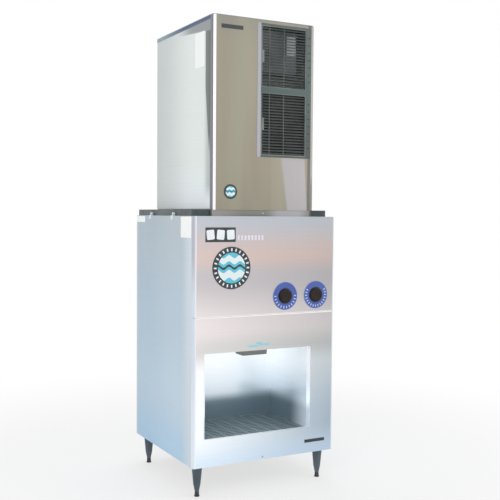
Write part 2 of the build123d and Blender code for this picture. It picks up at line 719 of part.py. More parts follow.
# Ice maker. Its base tray stands on the deck, with the ice opening on the left. A loose collar
# drops into the opening and stands on the deck, so that meltwater stays out of the bin
COLLAR = 1.5
COLLAR_PLAY = 0.2
BASE_X = MAKER_SIDE - 2.0
BASE_Y0 = MAKER_F + 5.0
BASE_Y1 = MAKER_B - 2 * THIN - 1.0
BASE_FLOOR = MAKER_Z0 + 1.5
SKIRT_Z = MAKER_Z0 + 30.0
SIDE_Z0 = SKIRT_Z + 5.0
COVER_H = 23.0
SIDE_Z1 = MAKER_Z1 - COVER_H - 0.5
RETURN_M = 27.0
COVER_Y0 = MAKER_F + RETURN_M + 1.0

with BuildPart() as maker_base:
    block((-BASE_X, BASE_X), (BASE_Y0, BASE_Y1), (MAKER_Z0, MAKER_Z0 + 47))
    fillet(maker_base.edges().filter_by(Axis.Z), radius=8)
    offset(amount=-1.5, openings=maker_base.faces().sort_by(Axis.Z)[-1])
    block(
        (DROP_X0 - COLLAR - COLLAR_PLAY, DROP_X1 + COLLAR + COLLAR_PLAY),
        (-DROP_Y - COLLAR - COLLAR_PLAY, DROP_Y + COLLAR + COLLAR_PLAY),
        (MAKER_Z0 - 1, MAKER_Z0 + 3),
        Mode.SUBTRACT,
    )
    block(
        (DROP_X0 - COLLAR, DROP_X1 + COLLAR),
        (-DROP_Y - COLLAR, DROP_Y + COLLAR),
        (MAKER_Z0, MAKER_Z0 + 25),
    )
    block((DROP_X0, DROP_X1), (-DROP_Y, DROP_Y), (MAKER_Z0 - 1, MAKER_Z0 + 30), Mode.SUBTRACT)
save(maker_base, "maker_base")


def maker_side(sign):
    wall = sign * (MAKER_SIDE - THIN / 2)
    inner = wall - sign * 14
    front = COVER_Y0 + THIN / 2
    rear = MAKER_B - 1.5 * THIN
    with BuildPart() as panel:
        with BuildSketch(Plane.XY.offset(SIDE_Z0)):
            with BuildLine():
                FilletPolyline((inner, front), (wall, front), (wall, rear), (inner, rear), radius=2)
            trace(line_width=THIN)
        extrude(amount=SIDE_Z1 - SIDE_Z0)
        notch_x = (wall + THIN, inner) if sign < 0 else (inner, wall - THIN)
        block(notch_x, (COVER_Y0 - 1, MAKER_B), (SIDE_Z0 - 1, MAKER_Z0 + 48), Mode.SUBTRACT)
    return panel


save(maker_side(-1), "maker_left_side")
save(maker_side(1), "maker_right_side")

# Rear sheet with rows of slots where the warm air leaves
with BuildPart() as maker_back:
    block((-MAKER_SIDE + 3, MAKER_SIDE - 3), (MAKER_B - THIN, MAKER_B), (SIDE_Z0, SIDE_Z1))
    with Locations((130, MAKER_B, 1960)):
        with GridLocations(120, 1, 2, 1):
            with Locations(*[(0, 0, row * 30) for row in range(-5, 6)]):
                Box(96, 6, 9, mode=Mode.SUBTRACT)
save(maker_back, "maker_back")

# Top cover, a shallow lid whose skirt hangs over the side sheets' upper edges
with BuildPart() as maker_top:
    block((-MAKER_SIDE, MAKER_SIDE), (COVER_Y0, MAKER_B), (MAKER_Z1 - COVER_H, MAKER_Z1))
    fillet(maker_top.edges().filter_by(Axis.Y).group_by(Axis.Z)[-1], radius=5)
    offset(amount=-THIN, openings=maker_top.faces().sort_by(Axis.Z)[0])
save(maker_top, "maker_top")

# Front panel, a pan with rounded corners and the grille's opening
with BuildPart() as maker_front_panel:
    block((-MAKER_SIDE, MAKER_SIDE), (MAKER_F, MAKER_F + RETURN_M), (SKIRT_Z, MAKER_Z1))
    fillet(maker_front_panel.edges().filter_by(Axis.Z).group_by(Axis.Y)[0], radius=9)
    fillet(maker_front_panel.edges().filter_by(Axis.Y).group_by(Axis.Z)[-1], radius=9)
    maker_openings = [
        maker_front_panel.faces().sort_by(Axis.Z)[0],
        maker_front_panel.faces().sort_by(Axis.Y)[-1],
    ]
    offset(amount=-THIN, openings=maker_openings)
    block((GRILLE_X0, GRILLE_X1), (MAKER_F - 5, MAKER_F + 5), (GRILLE_Z0, GRILLE_Z1), Mode.SUBTRACT)
save(maker_front_panel, "maker_front_panel")

# Grille frame set into the opening, with a flange lapped over the panel on its left edge
# and notches down the right one
LAP = 17.0
FRAME_Y0 = MAKER_F + 1.0
FRAME_Y1 = MAKER_F + 17.0
with BuildPart() as grille_frame:
    block((GRILLE_X0, GRILLE_X1), (FRAME_Y0, FRAME_Y1), (GRILLE_Z0, GRILLE_Z1))
    block(
        (GRILLE_X0 - 14, GRILLE_X1 + 8),
        (MAKER_F + THIN, MAKER_F + THIN + 2),
        (GRILLE_Z0 - 8, GRILLE_Z1 + 8),
    )
    block((GRILLE_X0, GRILLE_X0 + 2), (MAKER_F - THIN, FRAME_Y0 + 1), (GRILLE_Z0, GRILLE_Z1))
    block((GRILLE_X0 - LAP, GRILLE_X0 + 2), (MAKER_F - THIN, MAKER_F), (GRILLE_Z0, GRILLE_Z1))
    for low, high in (LOWER_Z, UPPER_Z):
        block((LOUVRE_X0, LOUVRE_X1), (FRAME_Y0 - 1, FRAME_Y1 + 1), (low, high), Mode.SUBTRACT)
        with Locations(((LOUVRE_X1 + GRILLE_X1) / 2, FRAME_Y0, (low + high) / 2)):
            with Locations(*[(0, 0, step * 36) for step in range(-3, 4)]):
                Box(8, 8, 6, mode=Mode.SUBTRACT)
save(grille_frame, "grille_frame")


# Clip-out louvre panels: a rim, sloping slats and two ribs, with a finger tab on the left
LOUVRE_RIM = 5.0
LOUVRE_Y0 = MAKER_F + 2.0
LOUVRE_Y1 = MAKER_F + 15.0
SLAT_LEAN = 38.0
SLAT_T = 1.6


def louvre(low, high):
    low, high = low + FIT, high - FIT
    left, right = LOUVRE_X0 + FIT, LOUVRE_X1 - FIT
    pitch = (high - low - 2 * LOUVRE_RIM) / SLATS
    with BuildPart() as panel:
        block((left, right), (LOUVRE_Y0, LOUVRE_Y1), (low, high))
        block(
            (left + LOUVRE_RIM, right - LOUVRE_RIM),
            (LOUVRE_Y0 - 1, LOUVRE_Y1 + 1),
            (low + LOUVRE_RIM, high - LOUVRE_RIM),
            Mode.SUBTRACT,
        )
        with Locations(((left + right) / 2, (LOUVRE_Y0 + LOUVRE_Y1) / 2 + 1, (low + high) / 2)):
            with Locations(*[(0, 0, (row - (SLATS - 1) / 2) * pitch) for row in range(SLATS)]):
                Box(right - left - 2 * LOUVRE_RIM, 11, SLAT_T, rotation=(SLAT_LEAN, 0, 0))
        for rib_x in (30.0, 110.0):
            block((rib_x - 1, rib_x + 1), (LOUVRE_Y0 + 4, LOUVRE_Y1), (low + LOUVRE_RIM, high - LOUVRE_RIM))
        block((left, left + 17), (LOUVRE_Y0, LOUVRE_Y0 + 3), ((low + high) / 2 - 30, (low + high) / 2 + 30))
    return panel


save(louvre(*LOWER_Z), "lower_louvre")
save(louvre(*UPPER_Z), "upper_louvre")

# Moulded bulkhead between the cold, wet left half and the machinery on the right,
# with two lugs that carry the water curtain
BULK_X0, BULK_X1 = -6.0, 0.0
EVAP_X0, EVAP_X1 = -62.0, -34.0
EVAP_Z0, EVAP_Z1 = 1850.0, 2190.0
CURTAIN_X = EVAP_X0 - 10
CURTAIN_Z = EVAP_Z1 + 18
with BuildPart() as bulkhead:
    block((BULK_X0, BULK_X1), (FRAME_Y1 + 8, BASE_Y1 - 1.5), (BASE_FLOOR, SIDE_Z1))
    for lug_y in (-170, 170):
        block((CURTAIN_X - 8, BULK_X0), (lug_y - 3, lug_y + 3), (CURTAIN_Z - 8, CURTAIN_Z + 8))
    with Locations(Plane.XZ):
        with Locations((CURTAIN_X, CURTAIN_Z)):
            Cylinder(radius=3.0 + RUNNING, height=400, mode=Mode.SUBTRACT)
save(bulkhead, "bulkhead")

# Condenser: side plates that stand on the base, and a pack of fins behind the lower louvre
COND_X0, COND_X1 = 2.0, 250.0
COND_Y0, COND_Y1 = FRAME_Y1 + 8, FRAME_Y1 + 58
COND_Z0, COND_Z1 = 1640.0, 1950.0
with BuildPart() as condenser:
    for plate_x in (COND_X0, COND_X1 - 2):
        block((plate_x, plate_x + 2), (COND_Y0, COND_Y1), (BASE_FLOOR, COND_Z1 + 5))
    block((COND_X0, COND_X1), (COND_Y0, COND_Y1), (COND_Z1 + 3, COND_Z1 + 5))
    block((COND_X0, COND_X1), (COND_Y0, COND_Y1), (COND_Z0 - 2, COND_Z0))
    block((COND_X0 + 2, COND_X1 - 2), (COND_Y0 + 8, COND_Y1 - 4), (COND_Z0, COND_Z1 + 3))
    with Locations(((COND_X0 + COND_X1) / 2, COND_Y0 + 4, (COND_Z0 + COND_Z1) / 2)):
        with GridLocations(8, 1, 30, 1):
            Box(1.5, 8, COND_Z1 - COND_Z0 + 4)
save(condenser, "condenser")

# Fan shroud on the condenser's rear face, with a spider that holds the motor
FAN_X, FAN_Z = (COND_X0 + COND_X1) / 2, (COND_Z0 + COND_Z1) / 2
FAN_R = 108.0
FAN_Y = COND_Y1 + 20
MOTOR_Y0 = COND_Y1 + 52
MOTOR_R = 38.0
with BuildPart() as fan_shroud:
    block((COND_X0, COND_X1), (COND_Y1, COND_Y1 + 2), (COND_Z0 - 2, COND_Z1 + 5))
    with Locations(Plane.XZ.offset(-COND_Y1)):
        with Locations((FAN_X, FAN_Z)):
            Cylinder(radius=FAN_R + 8, height=42, align=(Align.CENTER, Align.CENTER, Align.MAX))
            Cylinder(radius=FAN_R + 6, height=200, mode=Mode.SUBTRACT)
    with BuildSketch(Plane.XZ.offset(-COND_Y1 - 38)):
        with Locations((FAN_X, FAN_Z)):
            with PolarLocations((FAN_R + MOTOR_R) / 2 + 4, 3, start_angle=90):
                Rectangle(FAN_R - MOTOR_R + 7, 8)
    extrude(amount=-4)
    with Locations(Plane.XZ.offset(-COND_Y1 - 38)):
        with Locations((FAN_X, FAN_Z)):
            Cylinder(radius=MOTOR_R + 3, height=30, align=(Align.CENTER, Align.CENTER, Align.MAX))
            Cylinder(radius=MOTOR_R, height=200, mode=Mode.SUBTRACT)
save(fan_shroud, "fan_shroud")

FAN_SHAFT_R = 4.0
with BuildPart() as fan_motor:
    with Locations(Plane.XZ.offset(-MOTOR_Y0)):
        with Locations((FAN_X, FAN_Z)):
            Cylinder(radius=MOTOR_R, height=60, align=(Align.CENTER, Align.CENTER, Align.MAX))
    chamfer(fan_motor.edges().filter_by(GeomType.CIRCLE).sort_by(Axis.Y)[-1], length=8)
    with Locations(Plane.XZ.offset(-MOTOR_Y0)):
        with Locations((FAN_X, FAN_Z)):
            Cylinder(radius=FAN_SHAFT_R + RUNNING, height=60, mode=Mode.SUBTRACT)
save(fan_motor, "fan_motor")


# Axial fan: hub, shaft and five pressed blades that widen towards the tip
BLADES = 5
BLADE_PITCH = 32.0
TIP_R = FAN_R - 8
blade_plane = Plane(
    origin=(FAN_X, FAN_Y, FAN_Z),
    x_dir=(1, 0, 0),
    z_dir=(0, cos(radians(BLADE_PITCH)), sin(radians(BLADE_PITCH))),
)
with BuildPart() as fan_blade:
    with BuildSketch(blade_plane):
        with BuildLine():
            Polyline((TIP_R - 8, 28), (20, 13), (20, -13), (TIP_R - 8, -28))
            ThreePointArc((TIP_R - 8, -28), (TIP_R, 0), (TIP_R - 8, 28))
        make_face()
    extrude(amount=0.8, both=True)

with BuildPart() as condenser_fan:
    with Locations(Plane.XZ.offset(-FAN_Y)):
        with Locations((FAN_X, FAN_Z)):
            Cylinder(radius=26, height=30)
    for turn in range(BLADES):
        add(fan_blade.part.rotate(Axis((FAN_X, FAN_Y, FAN_Z), (0, 1, 0)), turn * 360 / BLADES))
    with Locations(Plane.XZ.offset(-FAN_Y)):
        with Locations((FAN_X, FAN_Z)):
            Cylinder(radius=FAN_SHAFT_R, height=50, align=(Align.CENTER, Align.CENTER, Align.MAX))
save(condenser_fan, "condenser_fan")

# Hermetic compressor on its mounting plate
COMP_X, COMP_Y = 140.0, 120.0
COMP_R = 78.0
COMP_DOME = 45.0
COMP_TOP = BASE_FLOOR + 248.0
shell_dome = [(COMP_X + r, COMP_TOP - drop) for r, drop in dome_steps(COMP_R, COMP_DOME, 3)]
with BuildPart() as compressor:
    block((COMP_X - 85, COMP_X + 85), (COMP_Y - 85, COMP_Y + 85), (BASE_FLOOR + 14, BASE_FLOOR + 18))
    with Locations((COMP_X, COMP_Y, BASE_FLOOR)):
        with GridLocations(140, 140, 2, 2):
            Cylinder(radius=12, height=14, align=(Align.CENTER, Align.CENTER, Align.MIN))
    with BuildSketch(Plane.XZ.offset(-COMP_Y)):
        with BuildLine():
            Polyline(
                (COMP_X, BASE_FLOOR + 18),
                (COMP_X + COMP_R, BASE_FLOOR + 18),
                *shell_dome,
                (COMP_X, shell_dome[-1][1]),
                close=True,
            )
        make_face()
    revolve(axis=Axis((COMP_X, COMP_Y, 0), (0, 0, 1)))
    block((COMP_X - 30, COMP_X + 30), (COMP_Y - 100, COMP_Y - 60), (BASE_FLOOR + 100, BASE_FLOOR + 170))
save(compressor, "compressor")

# Control box on the bulkhead, behind the upper louvre
with BuildPart() as control_box:
    block((BULK_X1, 190), (COND_Y0, COND_Y0 + 110), (2040, 2235))
    block((130, 186), (COND_Y0 - 3, COND_Y0), (2100, 2228))
    block((34, 108), (COND_Y0 - 3, COND_Y0), (2116, 2162))
save(control_box, "control_box")

# Evaporator plate with rows of ice pockets, held off the bulkhead by two rails
with BuildPart() as evaporator:
    block((EVAP_X0, EVAP_X1), (-160, 160), (EVAP_Z0, EVAP_Z1))
    with Locations((EVAP_X0, 0, (EVAP_Z0 + EVAP_Z1) / 2)):
        with Locations(*[(0, col * 38, row * 33) for col in range(-3, 4) for row in range(-4, 5)]):
            Box(36, 32, 27, mode=Mode.SUBTRACT)
    for stud_z in (EVAP_Z0 + 40, EVAP_Z1 - 40):
        block((EVAP_X1, BULK_X0), (-110, 110), (stud_z - 8, stud_z + 8))
save(evaporator, "evaporator")

# Water curtain that hangs in front of the pockets and swings out when the ice falls
with BuildPart() as water_curtain:
    block((CURTAIN_X - 1, CURTAIN_X + 1), (-163, 163), (EVAP_Z0 - 10, CURTAIN_Z))
    with Locations(Plane.XZ):
        with Locations((CURTAIN_X, CURTAIN_Z)):
            Cylinder(radius=3.0, height=350)
save(water_curtain, "water_curtain")

# Water trough under the evaporator, on the bulkhead, with the pump standing in its rear end
TROUGH_X0, TROUGH_X1 = -96.0, BULK_X0
TROUGH_Z0, TROUGH_Z1 = 1745.0, 1805.0
with BuildPart() as water_trough:
    block((TROUGH_X0, TROUGH_X1), (-190, 270), (TROUGH_Z0, TROUGH_Z1))
    fillet(water_trough.edges().filter_by(Axis.Y).group_by(Axis.Z)[0], radius=14)
    offset(amount=-3, openings=water_trough.faces().sort_by(Axis.Z)[-1])
save(water_trough, "water_trough")

PUMP_Y = 225.0
with BuildPart() as water_pump:
    with Locations(((TROUGH_X0 + TROUGH_X1) / 2, PUMP_Y, TROUGH_Z0 + 3)):
        Cylinder(radius=24, height=30, align=(Align.CENTER, Align.CENTER, Align.MIN))
        Cylinder(radius=7, height=70, align=(Align.CENTER, Align.CENTER, Align.MIN))
    with Locations(((TROUGH_X0 + TROUGH_X1) / 2, PUMP_Y, TROUGH_Z1)):
        Box(TROUGH_X1 - TROUGH_X0, 60, 3, align=(Align.CENTER, Align.CENTER, Align.MIN))
        Cylinder(radius=32, height=80, align=(Align.CENTER, Align.CENTER, Align.MIN))
    chamfer(water_pump.edges().filter_by(GeomType.CIRCLE).sort_by(Axis.Z)[-1], length=8)
save(water_pump, "water_pump")
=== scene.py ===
from math import cos, pi, radians, sin

import bpy
from mathutils import Matrix, Vector


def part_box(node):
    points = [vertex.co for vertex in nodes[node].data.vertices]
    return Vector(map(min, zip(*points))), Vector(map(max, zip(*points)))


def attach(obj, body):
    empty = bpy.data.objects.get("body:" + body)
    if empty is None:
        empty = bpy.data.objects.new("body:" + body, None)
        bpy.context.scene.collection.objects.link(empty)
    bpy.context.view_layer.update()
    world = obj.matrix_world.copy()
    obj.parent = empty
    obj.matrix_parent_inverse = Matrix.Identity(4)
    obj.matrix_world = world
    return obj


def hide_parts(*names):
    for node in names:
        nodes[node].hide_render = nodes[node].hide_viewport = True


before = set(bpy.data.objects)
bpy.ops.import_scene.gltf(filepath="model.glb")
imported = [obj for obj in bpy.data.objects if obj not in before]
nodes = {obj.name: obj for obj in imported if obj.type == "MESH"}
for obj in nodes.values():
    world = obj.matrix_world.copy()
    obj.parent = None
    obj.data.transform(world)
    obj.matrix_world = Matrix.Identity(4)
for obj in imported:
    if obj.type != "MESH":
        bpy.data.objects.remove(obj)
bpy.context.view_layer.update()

bpy.ops.object.select_all(action="DESELECT")


# Studio. A pale floor keeps the shadow and fades into the white surround, which only the
# camera, mirror and glass rays see at full strength. Three large soft lamps light the piece.
def shader_node(tree, kind, inputs=(), **settings):
    """A shader node. inputs pairs a socket's name or number with a value or another node's output."""
    made = tree.nodes.new("ShaderNode" + kind)
    for name, value in settings.items():
        setattr(made, name, value)
    for name, value in dict(inputs).items():
        if isinstance(value, bpy.types.NodeSocket):
            tree.links.new(value, made.inputs[name])
        else:
            made.inputs[name].default_value = value
    return made


def tone(red, green, blue):
    """A display colour, 0 to 255, as a linear one."""
    return (*[((c / 255 + 0.055) / 1.055) ** 2.4 for c in (red, green, blue)], 1.0)


def new_material(name):
    """A material with its node tree and its main shader."""
    material = bpy.data.materials.new(name)
    material.use_nodes = True
    return material, material.node_tree, material.node_tree.nodes["Principled BSDF"]


SURROUND_LIGHT = 0.62
world = bpy.data.worlds.new("studio_surround")
bpy.context.scene.world = world
world.use_nodes = True
surround = world.node_tree
seen = shader_node(surround, "LightPath")
seen_or_mirrored = shader_node(
    surround,
    "Math",
    {0: seen.outputs["Is Camera Ray"], 1: seen.outputs["Is Glossy Ray"]},
    operation="MAXIMUM",
)
seen_any_way = shader_node(
    surround,
    "Math",
    {0: seen_or_mirrored.outputs[0], 1: seen.outputs["Is Transmission Ray"]},
    operation="MAXIMUM",
)
surround_strength = shader_node(
    surround, "MapRange", {"Value": seen_any_way.outputs[0], "To Min": SURROUND_LIGHT, "To Max": 1.0}
)
surround.links.new(surround_strength.outputs[0], surround.nodes["Background"].inputs["Strength"])
surround.nodes["Background"].inputs["Color"].default_value = (1.0, 1.0, 1.0, 1.0)

FLOOR_SIZE = 16.0
FLOOR_FADE = (1.0, 3.0)
FLOOR_GLOW = 0.6
bpy.ops.mesh.primitive_plane_add(size=FLOOR_SIZE, location=(0, 0, 0))
floor = bpy.context.object
floor.name = "studio_floor"
floor_finish, floor_tree, floor_skin = new_material("pale_floor")
floor_skin.inputs["Base Color"].default_value = (0.9, 0.9, 0.9, 1.0)
floor_skin.inputs["Roughness"].default_value = 0.9
floor_place = shader_node(floor_tree, "TexCoord")
floor_distance = shader_node(
    floor_tree, "VectorMath", {0: floor_place.outputs["Object"]}, operation="LENGTH"
)
floor_fade = shader_node(
    floor_tree,
    "MapRange",
    {
        "Value": floor_distance.outputs["Value"],
        "From Min": FLOOR_FADE[0],
        "From Max": FLOOR_FADE[1],
        "To Min": FLOOR_GLOW,
    },
    interpolation_type="SMOOTHSTEP",
)
floor_glow = shader_node(floor_tree, "Emission", {"Strength": 1.0})
floor_blend = shader_node(
    floor_tree,
    "MixShader",
    {0: floor_fade.outputs[0], 1: floor_skin.outputs[0], 2: floor_glow.outputs[0]},
)
floor_tree.links.new(floor_blend.outputs[0], floor_tree.nodes["Material Output"].inputs["Surface"])
floor.data.materials.append(floor_finish)

LAMP_AIM = Vector((0.0, 0.0, 1.1))
for lamp_name, lamp_place, lamp_size, lamp_power in (
    ("front_left_lamp", (-3.2, -3.6, 3.2), 2.6, 62.0),
    ("front_right_lamp", (3.4, -3.4, 2.4), 2.4, 34.0),
    ("top_lamp", (0.4, 1.6, 4.6), 2.6, 40.0),
):
    lamp_turn = (LAMP_AIM - Vector(lamp_place)).to_track_quat("-Z", "Y").to_euler()
    bpy.ops.object.light_add(type="AREA", location=lamp_place, rotation=lamp_turn)
    lamp = bpy.context.object
    lamp.name = lamp_name
    lamp.data.size = lamp_size
    lamp.data.energy = lamp_power

CAMERA_PLACE = (-2.0091, -3.9499, 1.3483)
CAMERA_YAW, CAMERA_PITCH, CAMERA_ROLL = -0.4919, -0.0423, 0.007
CAMERA_LENS, CAMERA_SENSOR = 60.98, 36.0
bpy.ops.object.camera_add()
camera = bpy.context.object
camera.name = "photo_camera"
camera.data.lens = CAMERA_LENS
camera.data.sensor_width = CAMERA_SENSOR
camera.matrix_world = (
    Matrix.Translation(CAMERA_PLACE)
    @ Matrix.Rotation(CAMERA_YAW, 4, "Z")
    @ Matrix.Rotation(pi / 2 + CAMERA_PITCH, 4, "X")
    @ Matrix.Rotation(CAMERA_ROLL, 4, "Z")
)
bpy.context.scene.camera = camera
bpy.context.scene.view_settings.view_transform = "Standard"


# Legs and feet. Each leg is a tapered casting in slate paint that is lighter in soft patches,
# and a dark rubber-faced levelling foot is screwed into it from below.
def texture_group(name, inputs, outputs):
    """An empty shader node group with its sockets, its input node and its output node."""
    tree = bpy.data.node_groups.new(name, "ShaderNodeTree")
    for socket_name, kind, value in inputs:
        socket = tree.interface.new_socket(socket_name, in_out="INPUT", socket_type="NodeSocket" + kind)
        socket.default_value = value
    for socket_name in outputs:
        tree.interface.new_socket(socket_name, in_out="OUTPUT", socket_type="NodeSocketFloat")
    return tree, tree.nodes.new("NodeGroupInput"), tree.nodes.new("NodeGroupOutput")


def mix_colours(tree, factor, first, second, blend="MIX"):
    """Mixes two colours by a factor and gives the resulting socket."""
    mixed = shader_node(tree, "Mix", data_type="RGBA", blend_type=blend)
    for number, value in ((0, factor), (6, first), (7, second)):
        if isinstance(value, bpy.types.NodeSocket):
            tree.links.new(value, mixed.inputs[number])
        else:
            mixed.inputs[number].default_value = value
    return mixed.outputs[2]


moulded_grain, grain_in, grain_out = texture_group(
    "moulded_grain", [("Fineness", "Float", 400.0), ("Patches", "Float", 7.0)], ["Speckle", "Patch"]
)
grain_place = shader_node(moulded_grain, "TexCoord")
grain_speckle = shader_node(
    moulded_grain,
    "TexNoise",
    {"Vector": grain_place.outputs["Object"], "Scale": grain_in.outputs["Fineness"], "Detail": 2.0},
)
grain_patch = shader_node(
    moulded_grain,
    "TexNoise",
    {"Vector": grain_place.outputs["Object"], "Scale": grain_in.outputs["Patches"], "Detail": 4.0},
)
moulded_grain.links.new(grain_speckle.outputs[0], grain_out.inputs["Speckle"])
moulded_grain.links.new(grain_patch.outputs[0], grain_out.inputs["Patch"])

GLOSS_SPREAD = 0.06
SKIN_DEPTH = 0.0004


def moulded(name, dark, light, roughness, metallic=0.0, fineness=400.0, relief=0.15):
    """Paint, rubber or plastic: two close shades in soft patches, with a fine speckled skin."""
    material, tree, skin = new_material(name)
    grain = shader_node(tree, "Group", node_tree=moulded_grain)
    grain.inputs["Fineness"].default_value = fineness
    spread = shader_node(
        tree, "MapRange", {"Value": grain.outputs["Patch"], "From Min": 0.35, "From Max": 0.65}
    )
    shade = mix_colours(tree, spread.outputs[0], dark, light)
    tree.links.new(shade, skin.inputs["Base Color"])
    gloss = shader_node(
        tree,
        "MapRange",
        {
            "Value": grain.outputs["Speckle"],
            "To Min": roughness - GLOSS_SPREAD,
            "To Max": roughness + GLOSS_SPREAD,
        },
    )
    tree.links.new(gloss.outputs[0], skin.inputs["Roughness"])
    bump = shader_node(
        tree, "Bump", {"Strength": relief, "Distance": SKIN_DEPTH, "Height": grain.outputs["Speckle"]}
    )
    tree.links.new(bump.outputs[0], skin.inputs["Normal"])
    skin.inputs["Metallic"].default_value = metallic
    return material


def dress(material, *names):
    """Gives the named construction nodes their finish."""
    for name in names:
        nodes[name].material_slots[0].material = material


dress(moulded("slate_paint", tone(62, 76, 86), tone(80, 94, 104), 0.42, 0.15), "legs")
dress(
    moulded("foot_rubber", tone(44, 44, 46), tone(58, 58, 60), 0.6),
    *[name for name in nodes if name.endswith("_foot")],
)


# Cabinet shell. The side and back sheets are stainless steel with level brush lines. They carry
# painted reflections of the cool surroundings, painted shade towards the rear and painted highlights
# at the front and rear edges. The base pan and the deck are galvanised, as inner sheets are.
brushed_grain, brush_in, brush_out = texture_group(
    "brushed_grain", [("Stretch", "Vector", (2.5, 2.5, 700.0))], ["Line", "Smudge"]
)
brush_place = shader_node(brushed_grain, "TexCoord")
brush_map = shader_node(
    brushed_grain,
    "Mapping",
    {"Vector": brush_place.outputs["Object"], "Scale": brush_in.outputs["Stretch"]},
)
brush_line = shader_node(
    brushed_grain,
    "TexNoise",
    {"Vector": brush_map.outputs[0], "Scale": 1.0, "Detail": 5.0, "Roughness": 0.7},
)
brush_smudge = shader_node(
    brushed_grain, "TexNoise", {"Vector": brush_place.outputs["Object"], "Scale": 3.2, "Detail": 3.0}
)
brushed_grain.links.new(brush_line.outputs[0], brush_out.inputs["Line"])
brushed_grain.links.new(brush_smudge.outputs[0], brush_out.inputs["Smudge"])

ACROSS = (2.5, 2.5, 700.0)
UPRIGHT = (700.0, 700.0, 2.5)
BRUSH_DEPTH = 0.0003
SMUDGE_GLOSSIER, SMUDGE_DULLER = 0.05, 0.07
STREAK_DARKEST, STREAK_LIGHTEST = 0.94, 1.05


def step_up(tree, value, start, end):
    """0 below start, 1 above end, and smooth between them."""
    made = shader_node(
        tree,
        "MapRange",
        {"Value": value, "From Min": start, "From Max": end},
        interpolation_type="SMOOTHSTEP",
    )
    return made.outputs[0]


def combine(tree, operation, first, second=0.0):
    """One step of arithmetic on two values, and its result."""
    return shader_node(tree, "Math", {0: first, 1: second}, operation=operation).outputs[0]


def step_down(tree, value, start, end):
    """1 below start, 0 above end, and smooth between them."""
    return combine(tree, "SUBTRACT", 1.0, step_up(tree, value, start, end))


def height_bands(tree, height, bands):
    """Blends a few named tones by height."""
    low, high = bands[0][0], bands[-1][0]
    reach = shader_node(tree, "MapRange", {"Value": height, "From Min": low, "From Max": high})
    ramp = shader_node(tree, "ValToRGB", {0: reach.outputs[0]})
    ramp.color_ramp.interpolation = "EASE"
    ramp.color_ramp.elements.remove(ramp.color_ramp.elements[1])
    for number, (z, colour) in enumerate(bands):
        stop = (z - low) / (high - low)
        element = ramp.color_ramp.elements[0] if number == 0 else ramp.color_ramp.elements.new(stop)
        element.position = stop
        element.color = colour
    return ramp.outputs[0]


def between(tree, value, start, end, blur):
    """1 from start to end, with both borders blurred."""
    risen = step_up(tree, value, start - blur / 2, start + blur / 2)
    fallen = step_up(tree, value, end - blur / 2, end + blur / 2)
    return combine(tree, "SUBTRACT", risen, fallen)


def begin_steel(name, heights, grain=ACROSS, metallic=0.5, roughness=0.36):
    """Brushed sheet whose colour is painted in bands by height, as a painted reflection of what stands
    round it.
    """
    material, tree, skin = new_material(name)
    place = shader_node(tree, "TexCoord")
    axes = shader_node(tree, "SeparateXYZ", {0: place.outputs["Object"]})
    banded = height_bands(tree, axes.outputs["Z"], heights)
    brushed = shader_node(tree, "Group", node_tree=brushed_grain)
    brushed.inputs["Stretch"].default_value = grain
    gloss = shader_node(
        tree,
        "MapRange",
        {
            "Value": brushed.outputs["Smudge"],
            "From Min": 0.3,
            "From Max": 0.7,
            "To Min": roughness - SMUDGE_GLOSSIER,
            "To Max": roughness + SMUDGE_DULLER,
        },
    )
    tree.links.new(gloss.outputs[0], skin.inputs["Roughness"])
    bump = shader_node(
        tree, "Bump", {"Strength": 0.12, "Distance": BRUSH_DEPTH, "Height": brushed.outputs["Line"]}
    )
    tree.links.new(bump.outputs[0], skin.inputs["Normal"])
    skin.inputs["Metallic"].default_value = metallic
    return material, tree, axes.outputs, banded, brushed.outputs["Line"]


def end_steel(material, tree, colour, line):
    """Breaks the colour up along the brushed lines and feeds it to the shader."""
    streak = shader_node(
        tree,
        "MapRange",
        {
            "Value": line,
            "From Min": 0.25,
            "From Max": 0.75,
            "To Min": STREAK_DARKEST,
            "To Max": STREAK_LIGHTEST,
        },
    )
    broken = shader_node(tree, "VectorMath", {0: colour, "Scale": streak.outputs[0]}, operation="SCALE")
    tree.links.new(broken.outputs[0], tree.nodes["Principled BSDF"].inputs["Base Color"])
    return material


def plain_steel(name, heights, **finish):
    """Brushed sheet with its painted reflection bands by height and nothing painted over them."""
    material, tree, _, colour, line = begin_steel(name, heights, **finish)
    return end_steel(material, tree, colour, line)


def dimmed(tree, colour, by):
    """The same colour with less light in it."""
    return mix_colours(tree, 1.0, colour, by, "MULTIPLY")


side_steel, tree, axes, colour, line = begin_steel(
    "side_steel",
    [
        (0.15, tone(176, 208, 232)),
        (0.45, tone(191, 211, 226)),
        (0.80, tone(184, 203, 217)),
        (1.34, tone(184, 196, 204)),
    ],
)
# Painted shade darkens the sheets towards the rear, and painted highlights lighten the front edge and
# the rear edge.
rearward = step_up(tree, axes["Y"], -0.20, 0.25)
colour = mix_colours(tree, rearward, colour, dimmed(tree, colour, (0.86, 0.90, 0.93, 1.0)))
painted_front_highlight = step_down(tree, axes["Y"], -0.34, -0.22)
colour = mix_colours(tree, painted_front_highlight, colour, tone(208, 218, 227))
painted_rear_highlight = step_up(tree, axes["Y"], 0.33, 0.372)
colour = mix_colours(tree, painted_rear_highlight, colour, tone(192, 202, 208))
dress(end_steel(side_steel, tree, colour, line), "left_side_panel", "right_side_panel", "back_panel")

zinc = plain_steel(
    "zinc_sheet",
    [(0.15, tone(166, 168, 168)), (2.3, tone(176, 177, 175))],
    grain=(60.0, 60.0, 60.0),
    metallic=0.6,
    roughness=0.45,
)
dress(zinc, "base_pan", "top_deck", "fan_shroud", "gate_solenoid")


# Cabinet front. Two brushed sheets meet at a fold above the alcove, with a painted highlight along
# it. Painted reflections of the room lie on them in soft bands: pale and blue at the bottom, rosy
# across the middle, grey at the top, and painted shade dims them towards the right.
FOLD_Z = (0.8570, 0.8655)
RETURN_Y = (-0.3725, -0.3715)
OUTER_EDGE_X = (0.3790, 0.3810)
NEAR_CORNER_X = (-0.3800, -0.3745)
EDGE_BLUR = 0.002

